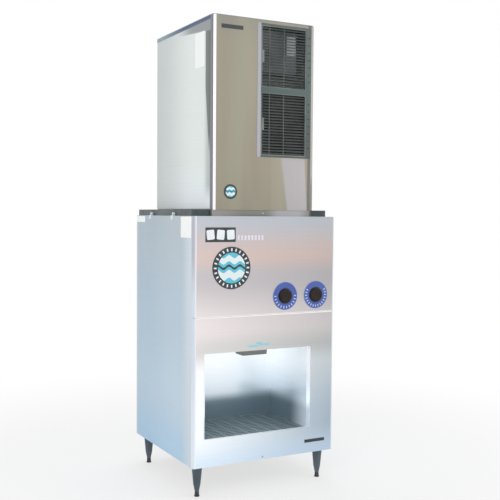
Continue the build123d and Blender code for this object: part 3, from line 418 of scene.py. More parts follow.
front_steel, tree, axes, colour, line = begin_steel(
    "front_steel",
    [
        (0.15, tone(214, 230, 245)),
        (0.30, tone(244, 249, 253)),
        (0.60, tone(250, 252, 253)),
        (0.71, tone(220, 219, 217)),
        (0.80, tone(237, 228, 228)),
        (1.06, tone(198, 193, 196)),
        (1.14, tone(214, 194, 189)),
        (1.34, tone(187, 193, 202)),
    ],
)
# Painted shade: the sheets are dimmed towards the right, by an amount that changes with height.
painted_far_shade = height_bands(
    tree,
    axes["Z"],
    [
        (0.15, (0.70, 0.77, 0.82, 1.0)),
        (0.30, (0.42, 0.50, 0.57, 1.0)),
        (0.80, (0.64, 0.66, 0.67, 1.0)),
        (1.34, (0.74, 0.74, 0.73, 1.0)),
    ],
)
rightward = shader_node(tree, "MapRange", {"Value": axes["X"], "From Min": -0.36, "From Max": 0.37})
colour = mix_colours(tree, rightward.outputs[0], colour, dimmed(tree, colour, painted_far_shade))
# Painted highlight along the fold where the two sheets meet.
painted_fold_highlight = combine(tree, "MULTIPLY", between(tree, axes["Z"], *FOLD_Z, EDGE_BLUR), 0.85)
colour = mix_colours(tree, painted_fold_highlight, colour, tone(255, 250, 250))
# Painted highlights: the side returns are painted near white, and a pale line runs down the near corner.
# The rounded outer edges carry a painted reflection, pale blue low down and grey higher up.
behind_face = step_up(tree, axes["Y"], *RETURN_Y)
outer_edge = step_up(tree, combine(tree, "ABSOLUTE", axes["X"]), *OUTER_EDGE_X)
painted_corner_highlight = between(tree, axes["X"], *NEAR_CORNER_X, EDGE_BLUR)
colour = mix_colours(tree, behind_face, colour, tone(250, 252, 255))
edge_height = step_up(tree, axes["Z"], 0.90, 1.20)
edge_tone = mix_colours(tree, edge_height, tone(212, 222, 233), tone(184, 186, 196))
colour = mix_colours(tree, outer_edge, colour, edge_tone)
colour = mix_colours(tree, painted_corner_highlight, colour, tone(238, 236, 243))
dress(end_steel(front_steel, tree, colour, line), "upper_front_panel", "lower_front_panel")


def paint_glow(tree, light):
    """Paints in light as a weak glow of the sheet's own, where the room in front of it is brighter than
    here.
    """
    tree.links.new(light, tree.nodes["Principled BSDF"].inputs["Emission Color"])
    tree.nodes["Principled BSDF"].inputs["Emission Strength"].default_value = 1.0


# Painted light: a weak glow on the front sheets, low down and towards the near left.
painted_low_light = step_down(tree, axes["Z"], 0.30, 0.72)
painted_near_light = step_down(tree, axes["X"], -0.36, 0.30)
low_corner = combine(tree, "MULTIPLY", painted_low_light, painted_near_light)
paint_glow(tree, mix_colours(tree, low_corner, (0.0, 0.0, 0.0, 1.0), (0.10, 0.11, 0.12, 1.0)))


# Alcove liner. One deep box folded from polished stainless. Painted reflections of the tray's dark
# slots and the bright room lie in its walls, which are palest at the top, and a painted glow lightens
# them most at the near edge below.
liner_steel, tree, axes, colour, line = begin_steel(
    "liner_steel",
    [
        (0.27, tone(118, 134, 142)),
        (0.36, tone(120, 138, 148)),
        (0.42, tone(216, 226, 234)),
        (0.60, tone(250, 252, 255)),
        (0.72, tone(244, 248, 248)),
    ],
    grain=(6.0, 6.0, 240.0),
    metallic=0.6,
    roughness=0.2,
)
dress(end_steel(liner_steel, tree, colour, line), "alcove_liner")
# Painted light: a weak glow over the walls, strongest high up at the back and low down at the near edge.
LOW_GLOW = (0.030, 0.042, 0.052, 1.0)
FRONT_GLOW = (0.02, 0.03, 0.04, 1.0)
DEEP_GLOW = (0.20, 0.22, 0.23, 1.0)
NEAR_FOOT_GLOW = (0.34, 0.39, 0.44, 1.0)
upward = step_up(tree, axes["Z"], 0.34, 0.48)
deep = step_up(tree, axes["Y"], -0.33, -0.02)
painted_liner_glow = mix_colours(tree, upward, LOW_GLOW, mix_colours(tree, deep, FRONT_GLOW, DEEP_GLOW))
near = step_down(tree, axes["Y"], -0.37, -0.19)
near_foot = combine(tree, "MULTIPLY", near, step_down(tree, axes["Z"], 0.40, 0.55))
paint_glow(tree, mix_colours(tree, near_foot, painted_liner_glow, NEAR_FOOT_GLOW))


# Drip tray and grille. The tray lies in the alcove's floor and the slotted grille lies loose on it.
# Both are dull stainless, bright on the grille and at the near rim, and painted shade darkens them
# further down, in the slots and the tray.
tray_steel, tree, axes, colour, line = begin_steel(
    "tray_steel",
    [
        (0.20, tone(16, 22, 24)),
        (0.267, tone(20, 26, 28)),
        (0.2705, tone(138, 154, 160)),
        (0.29, tone(150, 158, 162)),
    ],
    grain=(90.0, 90.0, 90.0),
    metallic=0.35,
    roughness=0.35,
)
near_rim = step_down(tree, axes["Y"], -0.3540, -0.3500)
colour = mix_colours(tree, near_rim, colour, tone(168, 164, 172))
dress(end_steel(tray_steel, tree, colour, line), "drip_tray", "drip_grille")


# Ice chute and gate. Both are folded from satin sheet, painted darker towards the spout. The gate
# swings on its own shaft, and a solenoid pulls it open.
chute_steel = plain_steel(
    "chute_steel",
    [(0.65, tone(118, 118, 118)), (0.72, tone(140, 144, 142)), (1.10, tone(170, 170, 170))],
    grain=UPRIGHT,
    metallic=0.7,
    roughness=0.35,
)
dress(chute_steel, "ice_chute", "chute_gate", "gate_shaft")


# Pieces inside both halves: the foam-filled bin, the wheel and its bushes, the drives, and the
# water and waste ways. They are moulded, painted or bright metal, and hardly show from outside.
dress(moulded("bin_liner", tone(196, 202, 204), tone(210, 215, 217), 0.5), "ice_bin")
white_plastic = moulded("white_plastic", tone(214, 218, 218), tone(228, 231, 230), 0.4)
dress(
    white_plastic,
    "shaft_bushes", "water_nozzle", "water_trough", "bulkhead", "water_curtain", "water_pump",
)
drive_paint = moulded("drive_paint", tone(38, 40, 44), tone(52, 54, 58), 0.45, 0.2)
dress(drive_paint, "gear_motor", "fan_motor", "compressor")
bright_steel = plain_steel(
    "bright_steel",
    [(0.15, tone(176, 178, 180)), (2.3, tone(188, 190, 191))],
    grain=(40.0, 400.0, 40.0),
    metallic=0.85,
    roughness=0.28,
)
dress(bright_steel, "agitator", "solenoid_plunger", "evaporator")
dress(
    moulded("black_plastic", tone(32, 32, 34), tone(44, 44, 46), 0.45),
    "button_guides", "button_switches", "water_valve", "power_gland", "condenser_fan",
)
dress(moulded("clear_hose", tone(196, 198, 194), tone(212, 213, 208), 0.3), "water_pipe", "drain_pipe")
brass = plain_steel(
    "machined_brass",
    [(0.15, tone(184, 150, 84)), (0.70, tone(196, 162, 94))],
    grain=(500.0, 40.0, 500.0),
    metallic=0.9,
    roughness=0.3,
)
dress(brass, "water_inlet", "drain_fitting")


# Push buttons. A blue printed ring with a navy inner edge lies on the panel, and a glossy
# black cap on a stem slides through it. Its guide and switch are behind the panel.
RING_R = 0.069
RING_HOLE_R = 0.0362
NAVY_EDGE = 0.006
PALE_RIM = (RING_R - 0.0022, RING_R - 0.0012)
BUTTON_Z = 0.948
RING_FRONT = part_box("ice_button_ring")[0][1]
FILM_DEPTH = 0.0003


def ring_film(name, x):
    """The ring's print: navy round the hole, blue beyond it and a thin pale rim."""
    material, tree, skin = new_material(name)
    place = shader_node(tree, "TexCoord")
    centred = shader_node(
        tree,
        "Mapping",
        {"Vector": place.outputs["Object"], "Location": (-x, 0.0, -BUTTON_Z), "Scale": (1.0, 0.0, 1.0)},
    )
    reach = shader_node(tree, "VectorMath", {0: centred.outputs[0]}, operation="LENGTH").outputs["Value"]
    grain = shader_node(tree, "Group", node_tree=moulded_grain)
    blue = mix_colours(tree, grain.outputs["Patch"], tone(50, 70, 150), tone(74, 100, 176))
    past_navy = step_up(tree, reach, RING_HOLE_R, RING_HOLE_R + NAVY_EDGE)
    film = mix_colours(tree, past_navy, tone(26, 30, 74), blue)
    film = mix_colours(tree, step_up(tree, reach, *PALE_RIM), film, tone(132, 158, 206))
    tree.links.new(film, skin.inputs["Base Color"])
    bump = shader_node(
        tree, "Bump", {"Strength": 0.1, "Distance": FILM_DEPTH, "Height": grain.outputs["Speckle"]}
    )
    tree.links.new(bump.outputs[0], skin.inputs["Normal"])
    skin.inputs["Roughness"].default_value = 0.3
    skin.inputs["Coat Weight"].default_value = 0.2
    return material


def pick_faces(piece, wanted):
    """Goes into edit mode with only the wanted faces selected."""
    bpy.context.view_layer.objects.active = piece
    bpy.ops.object.mode_set(mode="EDIT")
    bpy.ops.mesh.select_mode(type="FACE")
    bpy.ops.mesh.select_all(action="DESELECT")
    bpy.ops.object.mode_set(mode="OBJECT")
    for face in piece.data.polygons:
        face.select = wanted(face)
    bpy.ops.object.mode_set(mode="EDIT")


def pick_edges(piece, wanted):
    """Goes into edit mode with only the wanted edges selected, told by their two ends."""
    bpy.context.view_layer.objects.active = piece
    bpy.ops.object.mode_set(mode="EDIT")
    bpy.ops.mesh.select_mode(type="EDGE")
    bpy.ops.mesh.select_all(action="DESELECT")
    bpy.ops.object.mode_set(mode="OBJECT")
    for edge in piece.data.edges:
        edge.select = wanted(*[piece.data.vertices[number].co for number in edge.vertices])
    bpy.ops.object.mode_set(mode="EDIT")


def settle(piece, material, body, smooth=35.0):
    """Puts a new piece's place into its mesh, and gives it its finish, slot and body."""
    bpy.ops.object.select_all(action="DESELECT")
    piece.select_set(True)
    bpy.context.view_layer.objects.active = piece
    bpy.ops.object.transform_apply(location=True, rotation=True, scale=True)
    if smooth:
        bpy.ops.object.shade_smooth_by_angle(angle=radians(smooth))
    piece.data.materials.clear()
    piece.data.materials.append(material)
    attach(piece, body)
    bpy.ops.object.select_all(action="DESELECT")


def copies_of(piece, count):
    """The piece itself and more like it, each with its own mesh."""
    pieces = [piece]
    for _ in range(count - 1):
        twin = piece.copy()
        twin.data = piece.data.copy()
        bpy.context.collection.objects.link(twin)
        pieces.append(twin)
    return pieces


def join_all(name, pieces):
    """Makes one mesh of several pieces."""
    bpy.ops.object.select_all(action="DESELECT")
    for piece in pieces:
        piece.select_set(True)
    bpy.context.view_layer.objects.active = pieces[0]
    bpy.ops.object.join()
    joined = bpy.context.object
    joined.name = name
    return joined


CAP_R = 0.035
CAP_DEPTH = 0.014
CAP_ROLL = 0.0065
CAP_DISH = ((0.004, 0.0), (0.006, -0.0006), (0.008, -0.0008))
CAP_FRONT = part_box("ice_button")[0][1]
CAP_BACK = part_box("ice_button")[1][1]
STEM_R = 0.008
STEM_FRONT = CAP_FRONT + 0.006


def domed_cap(name, x):
    """Cap with a rolled rim and a shallow dished centre, and its stem behind."""
    bpy.ops.mesh.primitive_cylinder_add(
        vertices=72,
        radius=CAP_R,
        depth=CAP_DEPTH,
        location=(x, CAP_FRONT + CAP_DEPTH / 2, BUTTON_Z),
        rotation=(pi / 2, 0, 0),
    )
    cap = bpy.context.object
    cap.name = name
    pick_faces(cap, lambda face: face.normal.z > 0.9)
    bpy.ops.mesh.bevel(offset=CAP_ROLL, segments=7, profile=0.55)
    bpy.ops.object.mode_set(mode="OBJECT")
    pick_faces(cap, lambda face: face.normal.z > 0.999)
    for width, sink in CAP_DISH:
        bpy.ops.mesh.inset(thickness=width, depth=sink)
    bpy.ops.object.mode_set(mode="OBJECT")
    bpy.ops.mesh.primitive_cylinder_add(
        vertices=32,
        radius=STEM_R,
        depth=CAP_BACK - STEM_FRONT,
        location=(x, (CAP_BACK + STEM_FRONT) / 2, BUTTON_Z),
        rotation=(pi / 2, 0, 0),
    )
    return join_all(name, [cap, bpy.context.object])


MARK_THICKNESS = 0.0005
PRINT_LIFT = 0.0001


def arc_marks(name, centre, radius, arc, count, size):
    """Plain short marks along an arc, given in degrees, each pointing at the centre."""
    x, front, z = centre
    length, width = size
    bpy.ops.mesh.primitive_cube_add(size=1, scale=(length, MARK_THICKNESS, width))
    marks = copies_of(bpy.context.object, count)
    for number, mark in enumerate(marks):
        angle = radians(arc[0] + (arc[1] - arc[0]) * number / (count - 1))
        mark.location = (x + radius * cos(angle), front, z + radius * sin(angle))
        mark.rotation_euler = (0, -angle, 0)
    return join_all(name, marks)


RING_MARKS_R = 0.056
RING_MARK = (0.0115, 0.0048)
cap_gloss = moulded("cap_gloss", tone(22, 20, 22), tone(40, 33, 26), 0.3, fineness=900.0, relief=0.04)
cap_gloss.node_tree.nodes["Principled BSDF"].inputs["Specular IOR Level"].default_value = 0.2
print_white = moulded("print_white", tone(226, 232, 240), tone(240, 244, 248), 0.45)
ring_print = moulded("ring_print", tone(168, 186, 224), tone(196, 210, 236), 0.45)
for use, button_x, arc, mark_count in (
    ("ice", 0.104, (180, 360), 12),
    ("water", 0.2805, (152, 388), 17),
):
    dress(ring_film(f"{use}_ring_film", button_x), f"{use}_button_ring")
    cap = domed_cap(f"{use}_button_cap", button_x)
    settle(cap, cap_gloss, f"{use}_button_body")
    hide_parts(f"{use}_button")
    ring_centre = (button_x, RING_FRONT - PRINT_LIFT, BUTTON_Z)
    marks = arc_marks(f"{use}_ring_marks", ring_centre, RING_MARKS_R, arc, mark_count, RING_MARK)
    settle(marks, ring_print, "dispenser", smooth=0)


# Round badges. Each is a dark film disc whose field shows level waves in cyan, white and a
# narrow dark line, as a plain sign for water. The large rim has a full ring of even marks.
dress(moulded("badge_dark", tone(38, 46, 48), tone(52, 60, 62), 0.35), "front_badges")
CABINET_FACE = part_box("upper_front_panel")[0][1]
MAKER_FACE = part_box("maker_front_panel")[0][1]
BADGE_THICKNESS = 0.0015
DISC_THICKNESS = 0.0004
WAVE_LENGTH, WAVE_HEIGHT, WAVE_BLUR = 0.8, 0.10, 0.03
WHITE_WAVES = ((-0.72, -0.22), (0.34, 0.74))
DARK_WAVE = (-0.02, 0.14)


def badge_field(name, x, z, radius):
    """Level waves, in parts of the field's radius, over cyan water in two close shades."""
    material, tree, skin = new_material(name)
    place = shader_node(tree, "TexCoord")
    axes = shader_node(tree, "SeparateXYZ", {0: place.outputs["Object"]}).outputs
    cloud = shader_node(
        tree, "TexNoise", {"Vector": place.outputs["Object"], "Scale": 1.2 / radius, "Detail": 3.0}
    )
    along = combine(tree, "SUBTRACT", axes["X"], x)
    wave_turns = combine(tree, "MULTIPLY", along, 2 * pi / (WAVE_LENGTH * radius))
    swell = combine(tree, "MULTIPLY", combine(tree, "SINE", wave_turns), WAVE_HEIGHT * radius)
    level = combine(tree, "ADD", combine(tree, "SUBTRACT", axes["Z"], z), swell)
    field = mix_colours(tree, cloud.outputs[0], tone(72, 178, 206), tone(104, 202, 220))
    waves = [(*wave, tone(226, 236, 238)) for wave in WHITE_WAVES] + [(*DARK_WAVE, tone(44, 56, 58))]
    for low, high, film in waves:
        stripe = between(tree, level, low * radius, high * radius, WAVE_BLUR * radius)
        field = mix_colours(tree, stripe, field, film)
    tree.links.new(field, skin.inputs["Base Color"])
    skin.inputs["Roughness"].default_value = 0.4
    return material


def thin_disc(name, x, y, z, radius):
    """A film disc that faces forwards, with a softened front edge."""
    bpy.ops.mesh.primitive_cylinder_add(
        vertices=96, radius=radius, depth=DISC_THICKNESS, location=(x, y, z), rotation=(pi / 2, 0, 0)
    )
    disc = bpy.context.object
    disc.name = name
    pick_faces(disc, lambda face: face.normal.z > 0.9)
    bpy.ops.mesh.bevel(offset=DISC_THICKNESS * 0.45, segments=2)
    bpy.ops.object.mode_set(mode="OBJECT")
    return disc


LARGE_BADGE = (-0.1915, CABINET_FACE - BADGE_THICKNESS - PRINT_LIFT, 1.0925)
SMALL_BADGE = (-0.1833, MAKER_FACE - BADGE_THICKNESS - PRINT_LIFT, 1.4550)
for badge_name, badge_place, field_r in (
    ("large_badge", LARGE_BADGE, 0.073),
    ("small_badge", SMALL_BADGE, 0.026),
):
    disc = thin_disc(f"{badge_name}_field", *badge_place, field_r)
    badge_x, _, badge_z = badge_place
    badge_film = badge_field(f"{badge_name}_film", badge_x, badge_z, field_r)
    settle(disc, badge_film, "dispenser")
BADGE_MARKS_R = 0.087
BADGE_MARK = (0.014, 0.007)
BADGE_MARK_COUNT = 24
full_ring = (0, 360 - 360 / BADGE_MARK_COUNT)
marks = arc_marks(
    "large_badge_marks", LARGE_BADGE, BADGE_MARKS_R, full_ring, BADGE_MARK_COUNT, BADGE_MARK
)
settle(marks, print_white, "dispenser", smooth=0)


# Marker plate over the large badge. Three plain white cubes lie aslant on its dark field, and a
# row of short upright bars runs on beside it. Three pale blue dashes sit over the alcove.
TILE_THICKNESS = 0.0006
CORNER_SHARE = 0.16


def flat_tile(name, x, z, width, height, front):
    """A thin printed tile that faces forwards, with rounded corners. front is its middle depth."""
    bpy.ops.mesh.primitive_cube_add(
        size=1, location=(x, front, z), scale=(width, TILE_THICKNESS, height)
    )
    tile = bpy.context.object
    tile.name = name
    bpy.ops.object.transform_apply(location=False, rotation=False, scale=True)
    pick_edges(tile, lambda start, end: abs(start.y - end.y) > TILE_THICKNESS / 2)
    bpy.ops.mesh.bevel(offset=min(width, height) * CORNER_SHARE, segments=4)
    bpy.ops.object.mode_set(mode="OBJECT")
    return tile


PLATE_THICKNESS = 0.001
CUBE_Z, CUBE_WIDTH, CUBE_HEIGHT, CUBE_LIFT = 1.2505, 0.040, 0.046, 0.0002
CUBE_PLACES = ((-0.303, -6), (-0.250, 5), (-0.197, -3))
cube_front = CABINET_FACE - PLATE_THICKNESS - CUBE_LIFT
cubes = copies_of(
    flat_tile("plate_cube", 0, CUBE_Z, CUBE_WIDTH, CUBE_HEIGHT, cube_front), len(CUBE_PLACES)
)
for cube, (cube_x, cube_turn) in zip(cubes, CUBE_PLACES):
    cube.location.x = cube_x
    cube.rotation_euler.y = radians(cube_turn)
settle(join_all("marker_plate_cubes", cubes), print_white, "dispenser", smooth=0)

BAR_X, BAR_Z, BAR_STEP, BAR_COUNT = -0.155, 1.2355, 0.0185, 8
BAR_WIDTH, BAR_HEIGHT = 0.011, 0.024
print_front = CABINET_FACE - TILE_THICKNESS / 2
bars = copies_of(flat_tile("row_bar", BAR_X, BAR_Z, BAR_WIDTH, BAR_HEIGHT, print_front), BAR_COUNT)
for number, bar in enumerate(bars):
    bar.location.x = BAR_X + BAR_STEP * number
row_print = moulded("row_print", tone(214, 212, 226), tone(228, 226, 236), 0.45)
settle(join_all("marker_row", bars), row_print, "dispenser", smooth=0)

DASH_HEIGHT = 0.009
dash_print = moulded("dash_print", tone(138, 204, 222), tone(168, 216, 232), 0.4)
dashes = [
    flat_tile("alcove_dash", dash_x, dash_z, dash_width, DASH_HEIGHT, print_front)
    for dash_x, dash_z, dash_width in (
        (-0.074, 0.712, 0.050),
        (-0.012, 0.716, 0.058),
        (-0.040, 0.725, 0.030),
    )
]
settle(join_all("alcove_marks", dashes), dash_print, "dispenser", smooth=0)


# Deck trim. Black filler strips close the deck on both sides of the maker, and small white
# clips hold them at the cabinet's edge.
dress(moulded("strip_paint", tone(44, 50, 50), tone(76, 90, 92), 0.28, 0.3), "filler_strips")
dress(moulded("clip_plastic", tone(214, 226, 234), tone(232, 240, 246), 0.4), "strip_clips")


# Ice maker shell. The base tray, the side sheets, the lid and the back are satin stainless. The sides
# carry a painted reflection of a dark upright just behind the front panel and are pale beyond it,
# with painted shade towards the rear, near the front and under the lid's edge.
maker_side, tree, axes, colour, line = begin_steel(
    "maker_side_steel",
    [
        (1.34, tone(236, 242, 248)),
        (1.46, tone(230, 237, 240)),
        (1.62, tone(226, 233, 230)),
        (2.30, tone(226, 233, 230)),
    ],
)
# Painted shade: the sides are darker towards the rear, and near the front above the base.
rearward = step_up(tree, axes["Y"], -0.15, 0.34)
colour = mix_colours(tree, rearward, colour, tone(198, 204, 204))
painted_front_shade = step_down(tree, axes["Y"], -0.300, -0.235)
painted_front_shade = combine(tree, "MULTIPLY", painted_front_shade, step_up(tree, axes["Z"], 1.40, 1.50))
colour = mix_colours(tree, painted_front_shade, colour, tone(184, 192, 189))
# Painted reflection of a dark upright just behind the front panel, on the taller part of the sides.
LEAN_BELOW_Z, LEAN = 1.95, 0.13
lean = combine(tree, "MULTIPLY", combine(tree, "SUBTRACT", axes["Z"], LEAN_BELOW_Z), LEAN)
edge_place = combine(tree, "SUBTRACT", axes["Y"], combine(tree, "MINIMUM", lean))
upright = step_down(tree, edge_place, -0.2660, -0.2580)
tall = step_up(tree, axes["Z"], 1.60, 1.74)
dark_upright_depth = step_up(tree, axes["Y"], -0.34, -0.27)
painted_dark_upright = mix_colours(tree, dark_upright_depth, tone(88, 96, 90), tone(116, 124, 118))
colour = mix_colours(tree, combine(tree, "MULTIPLY", upright, tall), colour, painted_dark_upright)
# Painted shade: a dark wedge just under the lid's edge, towards the front.
WEDGE_SLOPE = 0.09
wedge_rise = combine(tree, "SUBTRACT", axes["Z"], combine(tree, "MULTIPLY", axes["Y"], WEDGE_SLOPE))
painted_dark_wedge = step_up(tree, wedge_rise, 2.237, 2.246)
near_front = step_down(tree, axes["Y"], -0.12, 0.10)
colour = mix_colours(tree, combine(tree, "MULTIPLY", painted_dark_wedge, near_front), colour, tone(150, 154, 156))
dress(end_steel(maker_side, tree, colour, line), "maker_left_side", "maker_right_side", "maker_back")

lid_steel, tree, axes, colour, line = begin_steel(
    "lid_steel", [(2.266, tone(88, 102, 128)), (2.280, tone(58, 78, 118)), (2.289, tone(170, 178, 184))]
)
# Painted reflection: the lid is painted lighter towards the rear.
colour = mix_colours(tree, step_up(tree, axes["Y"], -0.05, 0.34), colour, tone(136, 160, 168))
dress(end_steel(lid_steel, tree, colour, line), "maker_top")

base_steel, tree, axes, colour, line = begin_steel(
    "base_steel",
    [(1.336, tone(110, 112, 105)), (1.352, tone(124, 126, 118)), (1.39, tone(132, 134, 126))],
)
# Painted highlights lighten the base at the near left and in a soft band right of the middle, and
# painted shade darkens its right end.
painted_near_light = step_down(tree, axes["X"], -0.26, -0.08)
colour = mix_colours(tree, painted_near_light, colour, tone(148, 144, 141))
painted_middle_highlight = between(tree, axes["X"], 0.05, 0.235, 0.09)
colour = mix_colours(tree, painted_middle_highlight, colour, tone(160, 158, 162))
painted_right_edge_shade = step_up(tree, axes["X"], 0.258, 0.270)
colour = mix_colours(tree, painted_right_edge_shade, colour, tone(68, 72, 76))
dress(end_steel(base_steel, tree, colour, line), "maker_base")


# Maker front panel. A pan of upright-brushed stainless with rounded corners. Painted reflections of
# a warm room lie on it, a painted highlight runs down its left corner as a white line, and a painted
# highlight from the floor lightens its lower right.
maker_front, tree, axes, colour, line = begin_steel(
    "maker_front_steel",
    [
        (1.36, tone(136, 129, 116)),
        (1.60, tone(144, 137, 123)),
        (2.15, tone(149, 143, 128)),
        (2.29, tone(140, 138, 131)),
    ],
    grain=UPRIGHT,
)
panel_place = shader_node(tree, "TexCoord")
panel_map = shader_node(
    tree, "Mapping", {"Vector": panel_place.outputs["Object"], "Scale": (6.0, 0.2, 0.8)}
)
panel_streak = shader_node(
    tree, "TexNoise", {"Vector": panel_map.outputs[0], "Scale": 1.0, "Detail": 2.0}
)
warm = combine(tree, "MULTIPLY", step_up(tree, panel_streak.outputs[0], 0.36, 0.64), 0.7)
colour = mix_colours(tree, warm, colour, tone(153, 150, 132))
# Painted highlight: a slanting soft band on the lower right, below the grille.
GLOW_LEAN_NEAR, GLOW_LEAN_FAR = 0.143, 0.060
glow_near = combine(tree, "ADD", axes["X"], combine(tree, "MULTIPLY", axes["Z"], GLOW_LEAN_NEAR))
glow_far = combine(tree, "ADD", axes["X"], combine(tree, "MULTIPLY", axes["Z"], GLOW_LEAN_FAR))
painted_lower_highlight = combine(
    tree,
    "MULTIPLY",
    step_up(tree, glow_near, 0.318, 0.337),
    step_down(tree, glow_far, 0.320, 0.333),
)
below_grille = step_down(tree, axes["Z"], 1.60, 1.66)
colour = mix_colours(tree, combine(tree, "MULTIPLY", painted_lower_highlight, below_grille), colour, tone(165, 161, 163))
dark_strip = between(tree, axes["X"], 0.2465, 0.2625, 0.003)
colour = mix_colours(tree, dark_strip, colour, tone(104, 104, 98))
# Painted shade and highlight on the right corner: dark low down and lighter higher up.
upper_part = step_up(tree, axes["Z"], 1.48, 1.56)
far_tone = mix_colours(tree, upper_part, tone(124, 122, 118), tone(160, 159, 157))
far_line = between(tree, axes["X"], 0.2655, 0.2760, 0.003)
colour = mix_colours(tree, far_line, colour, far_tone)
# Painted highlight down the left corner.
painted_left_corner_highlight = between(tree, axes["X"], -0.2775, -0.2618, 0.001)
colour = mix_colours(tree, painted_left_corner_highlight, colour, tone(246, 242, 248))
# Painted shade on the panel's side returns.
panel_return = combine(
    tree,
    "MAXIMUM",
    step_up(tree, axes["Y"], -0.3400, -0.3390),
    step_down(tree, axes["X"], -0.2780, -0.2772),
)
colour = mix_colours(tree, panel_return, colour, tone(124, 128, 134))
dress(end_steel(maker_front, tree, colour, line), "maker_front_panel")


# Air grille. A dark frame holds two clip-out louvre panels with sloping slats. Behind them
# stand the condenser's fins and the grey control box, with a bare paper label on its plate.
louvre_paint = moulded("louvre_paint", tone(92, 98, 97), tone(118, 124, 120), 0.38, 0.35, fineness=250.0)
dress(louvre_paint, "upper_louvre", "lower_louvre")
frame_paint, tree, axes, colour, line = begin_steel(
    "frame_paint",
    [(1.62, tone(74, 82, 80)), (1.98, tone(74, 90, 88)), (2.27, tone(88, 96, 94))],
    grain=(120.0, 120.0, 120.0),
)
on_flange = combine(
    tree,
    "MULTIPLY",
    step_down(tree, axes["X"], -0.0220, -0.0210),
    step_down(tree, axes["Y"], -0.3410, -0.3405),
)
colour = mix_colours(tree, on_flange, colour, tone(162, 162, 170))
dress(end_steel(frame_paint, tree, colour, line), "grille_frame")
fins = plain_steel(
    "fin_aluminium",
    [(1.63, tone(92, 92, 92)), (1.96, tone(116, 118, 118))],
    grain=(300.0, 6.0, 6.0),
    metallic=0.7,
    roughness=0.4,
)
dress(fins, "condenser")
BOX_LABEL_X, BOX_LABEL_Z, BOX_LABEL_WIDTH, BOX_LABEL_HEIGHT = 0.159, 2.175, 0.050, 0.098
box_label = flat_tile(
    "box_label",
    BOX_LABEL_X,
    BOX_LABEL_Z,
    BOX_LABEL_WIDTH,
    BOX_LABEL_HEIGHT,
    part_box("control_box")[0][1] - TILE_THICKNESS / 2,
)
box_label_film = moulded("box_label_film", tone(196, 202, 200), tone(212, 218, 216), 0.6)
settle(box_label, box_label_film, "dispenser", smooth=0)
dress(moulded("box_paint", tone(108, 108, 120), tone(132, 132, 142), 0.5), "control_box")


# Paper labels. Three bare white ones are stuck on the near sides, two at the cabinet's top edge
# and one high on the ice maker. They are cut with rounded corners.
LABEL_THICKNESS = 0.0002
LABEL_CORNER_R = 0.004
LABEL_GAP = 0.00002
CORNER_REACH = 1e-5


def paper_label(name, side, y_range, z_range):
    """A thin sheet just clear of the side's left face, which is given by its node's name."""
    (y0, y1), (z0, z1) = y_range, z_range
    face_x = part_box(side)[0][0] - LABEL_GAP
    bpy.ops.mesh.primitive_grid_add(
        x_subdivisions=8,
        y_subdivisions=10,
        size=1,
        location=(face_x, (y0 + y1) / 2, (z0 + z1) / 2),
        rotation=(0, -pi / 2, 0),
    )
    label = bpy.context.object
    label.name = name
    label.scale = (z1 - z0, y1 - y0, 1)
    bpy.ops.object.transform_apply(location=False, rotation=False, scale=True)
    bpy.ops.object.mode_set(mode="EDIT")
    bpy.ops.mesh.select_mode(type="VERT")
    bpy.ops.mesh.select_all(action="DESELECT")
    bpy.ops.object.mode_set(mode="OBJECT")
    for corner_point in label.data.vertices:
        at_end = abs(abs(corner_point.co.x) - (z1 - z0) / 2) < CORNER_REACH
        at_side = abs(abs(corner_point.co.y) - (y1 - y0) / 2) < CORNER_REACH
        corner_point.select = at_end and at_side
    bpy.ops.object.mode_set(mode="EDIT")
    bpy.ops.mesh.bevel(offset=LABEL_CORNER_R, segments=4, affect="VERTICES")
    bpy.ops.object.mode_set(mode="OBJECT")
    sheet = label.modifiers.new("paper", "SOLIDIFY")
    sheet.thickness = LABEL_THICKNESS
    sheet.offset = 1.0
    bpy.ops.object.modifier_apply(modifier="paper")
    return label


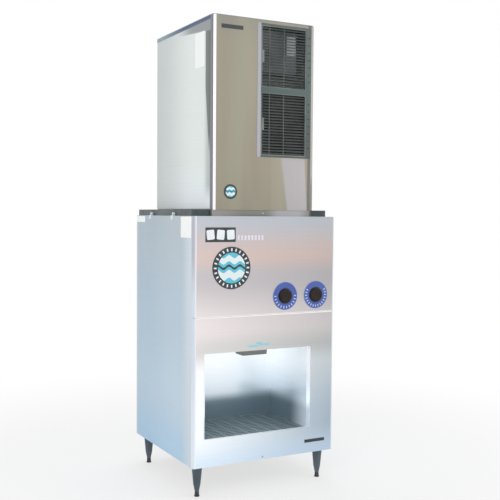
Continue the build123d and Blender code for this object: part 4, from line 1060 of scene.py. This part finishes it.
paper = moulded("label_paper", tone(248, 253, 251), tone(254, 255, 254), 0.7)
for label_name, label_side, label_y, label_z in (
    ("cabinet_front_label", "left_side_panel", (-0.346, -0.222), (1.235, 1.334)),
    ("cabinet_rear_label", "left_side_panel", (0.247, 0.371), (1.303, 1.334)),
    ("maker_label", "maker_left_side", (-0.248, -0.142), (2.056, 2.222)),
):
    settle(paper_label(label_name, label_side, label_y, label_z), paper, "dispenser")


# Screws. Stainless pan heads with a shallow round recess hold the back sheets, in a row down
# each edge and along the cabinet's top and bottom. One sits low in the middle of each front.
HEAD_R = 0.0045
HEAD_DEPTH = 0.0024
HEAD_ROUND = 0.0012
HEAD_STAND = 0.001
REARWARD, FORWARD = (0, 1, 0), (0, -1, 0)


def pan_screws(name, places, facing):
    """Like screws that face one way, as one piece."""
    bpy.ops.mesh.primitive_cylinder_add(vertices=18, radius=HEAD_R, depth=HEAD_DEPTH)
    screw = bpy.context.object
    pick_faces(screw, lambda face: face.normal.z > 0.9)
    bpy.ops.mesh.bevel(offset=HEAD_ROUND, segments=3)
    bpy.ops.object.mode_set(mode="OBJECT")
    pick_faces(screw, lambda face: face.normal.z > 0.999)
    bpy.ops.mesh.inset(thickness=0.0012)
    bpy.ops.mesh.inset(thickness=0.0003, depth=-0.0008)
    bpy.ops.object.mode_set(mode="OBJECT")
    screws = copies_of(screw, len(places))
    for screw, place in zip(screws, places):
        screw.location = place
        screw.rotation_euler = Vector(facing).to_track_quat("Z", "Y").to_euler()
    settle(join_all(name, screws), bright_steel, "dispenser")


cabinet_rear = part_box("back_panel")[1][1] + HEAD_STAND
maker_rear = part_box("maker_back")[1][1] + HEAD_STAND
cabinet_front = CABINET_FACE - HEAD_STAND
maker_front_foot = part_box("maker_base")[0][1] - HEAD_STAND
rear_places = [
    (x, cabinet_rear, z) for x in (-0.372, 0.372) for z in (0.20, 0.42, 0.64, 0.86, 1.08, 1.30)
]
rear_places += [(x, cabinet_rear, z) for x in (-0.19, 0.0, 0.19) for z in (0.165, 1.325)]
rear_places += [(x, maker_rear, z) for x in (-0.268, 0.268) for z in (1.42, 1.64, 1.86, 2.08, 2.24)]
pan_screws("rear_screws", rear_places, REARWARD)
front_places = [(-0.016, cabinet_front, 0.165), (-0.004, maker_front_foot, 1.353)]
pan_screws("front_screws", front_places, FORWARD)
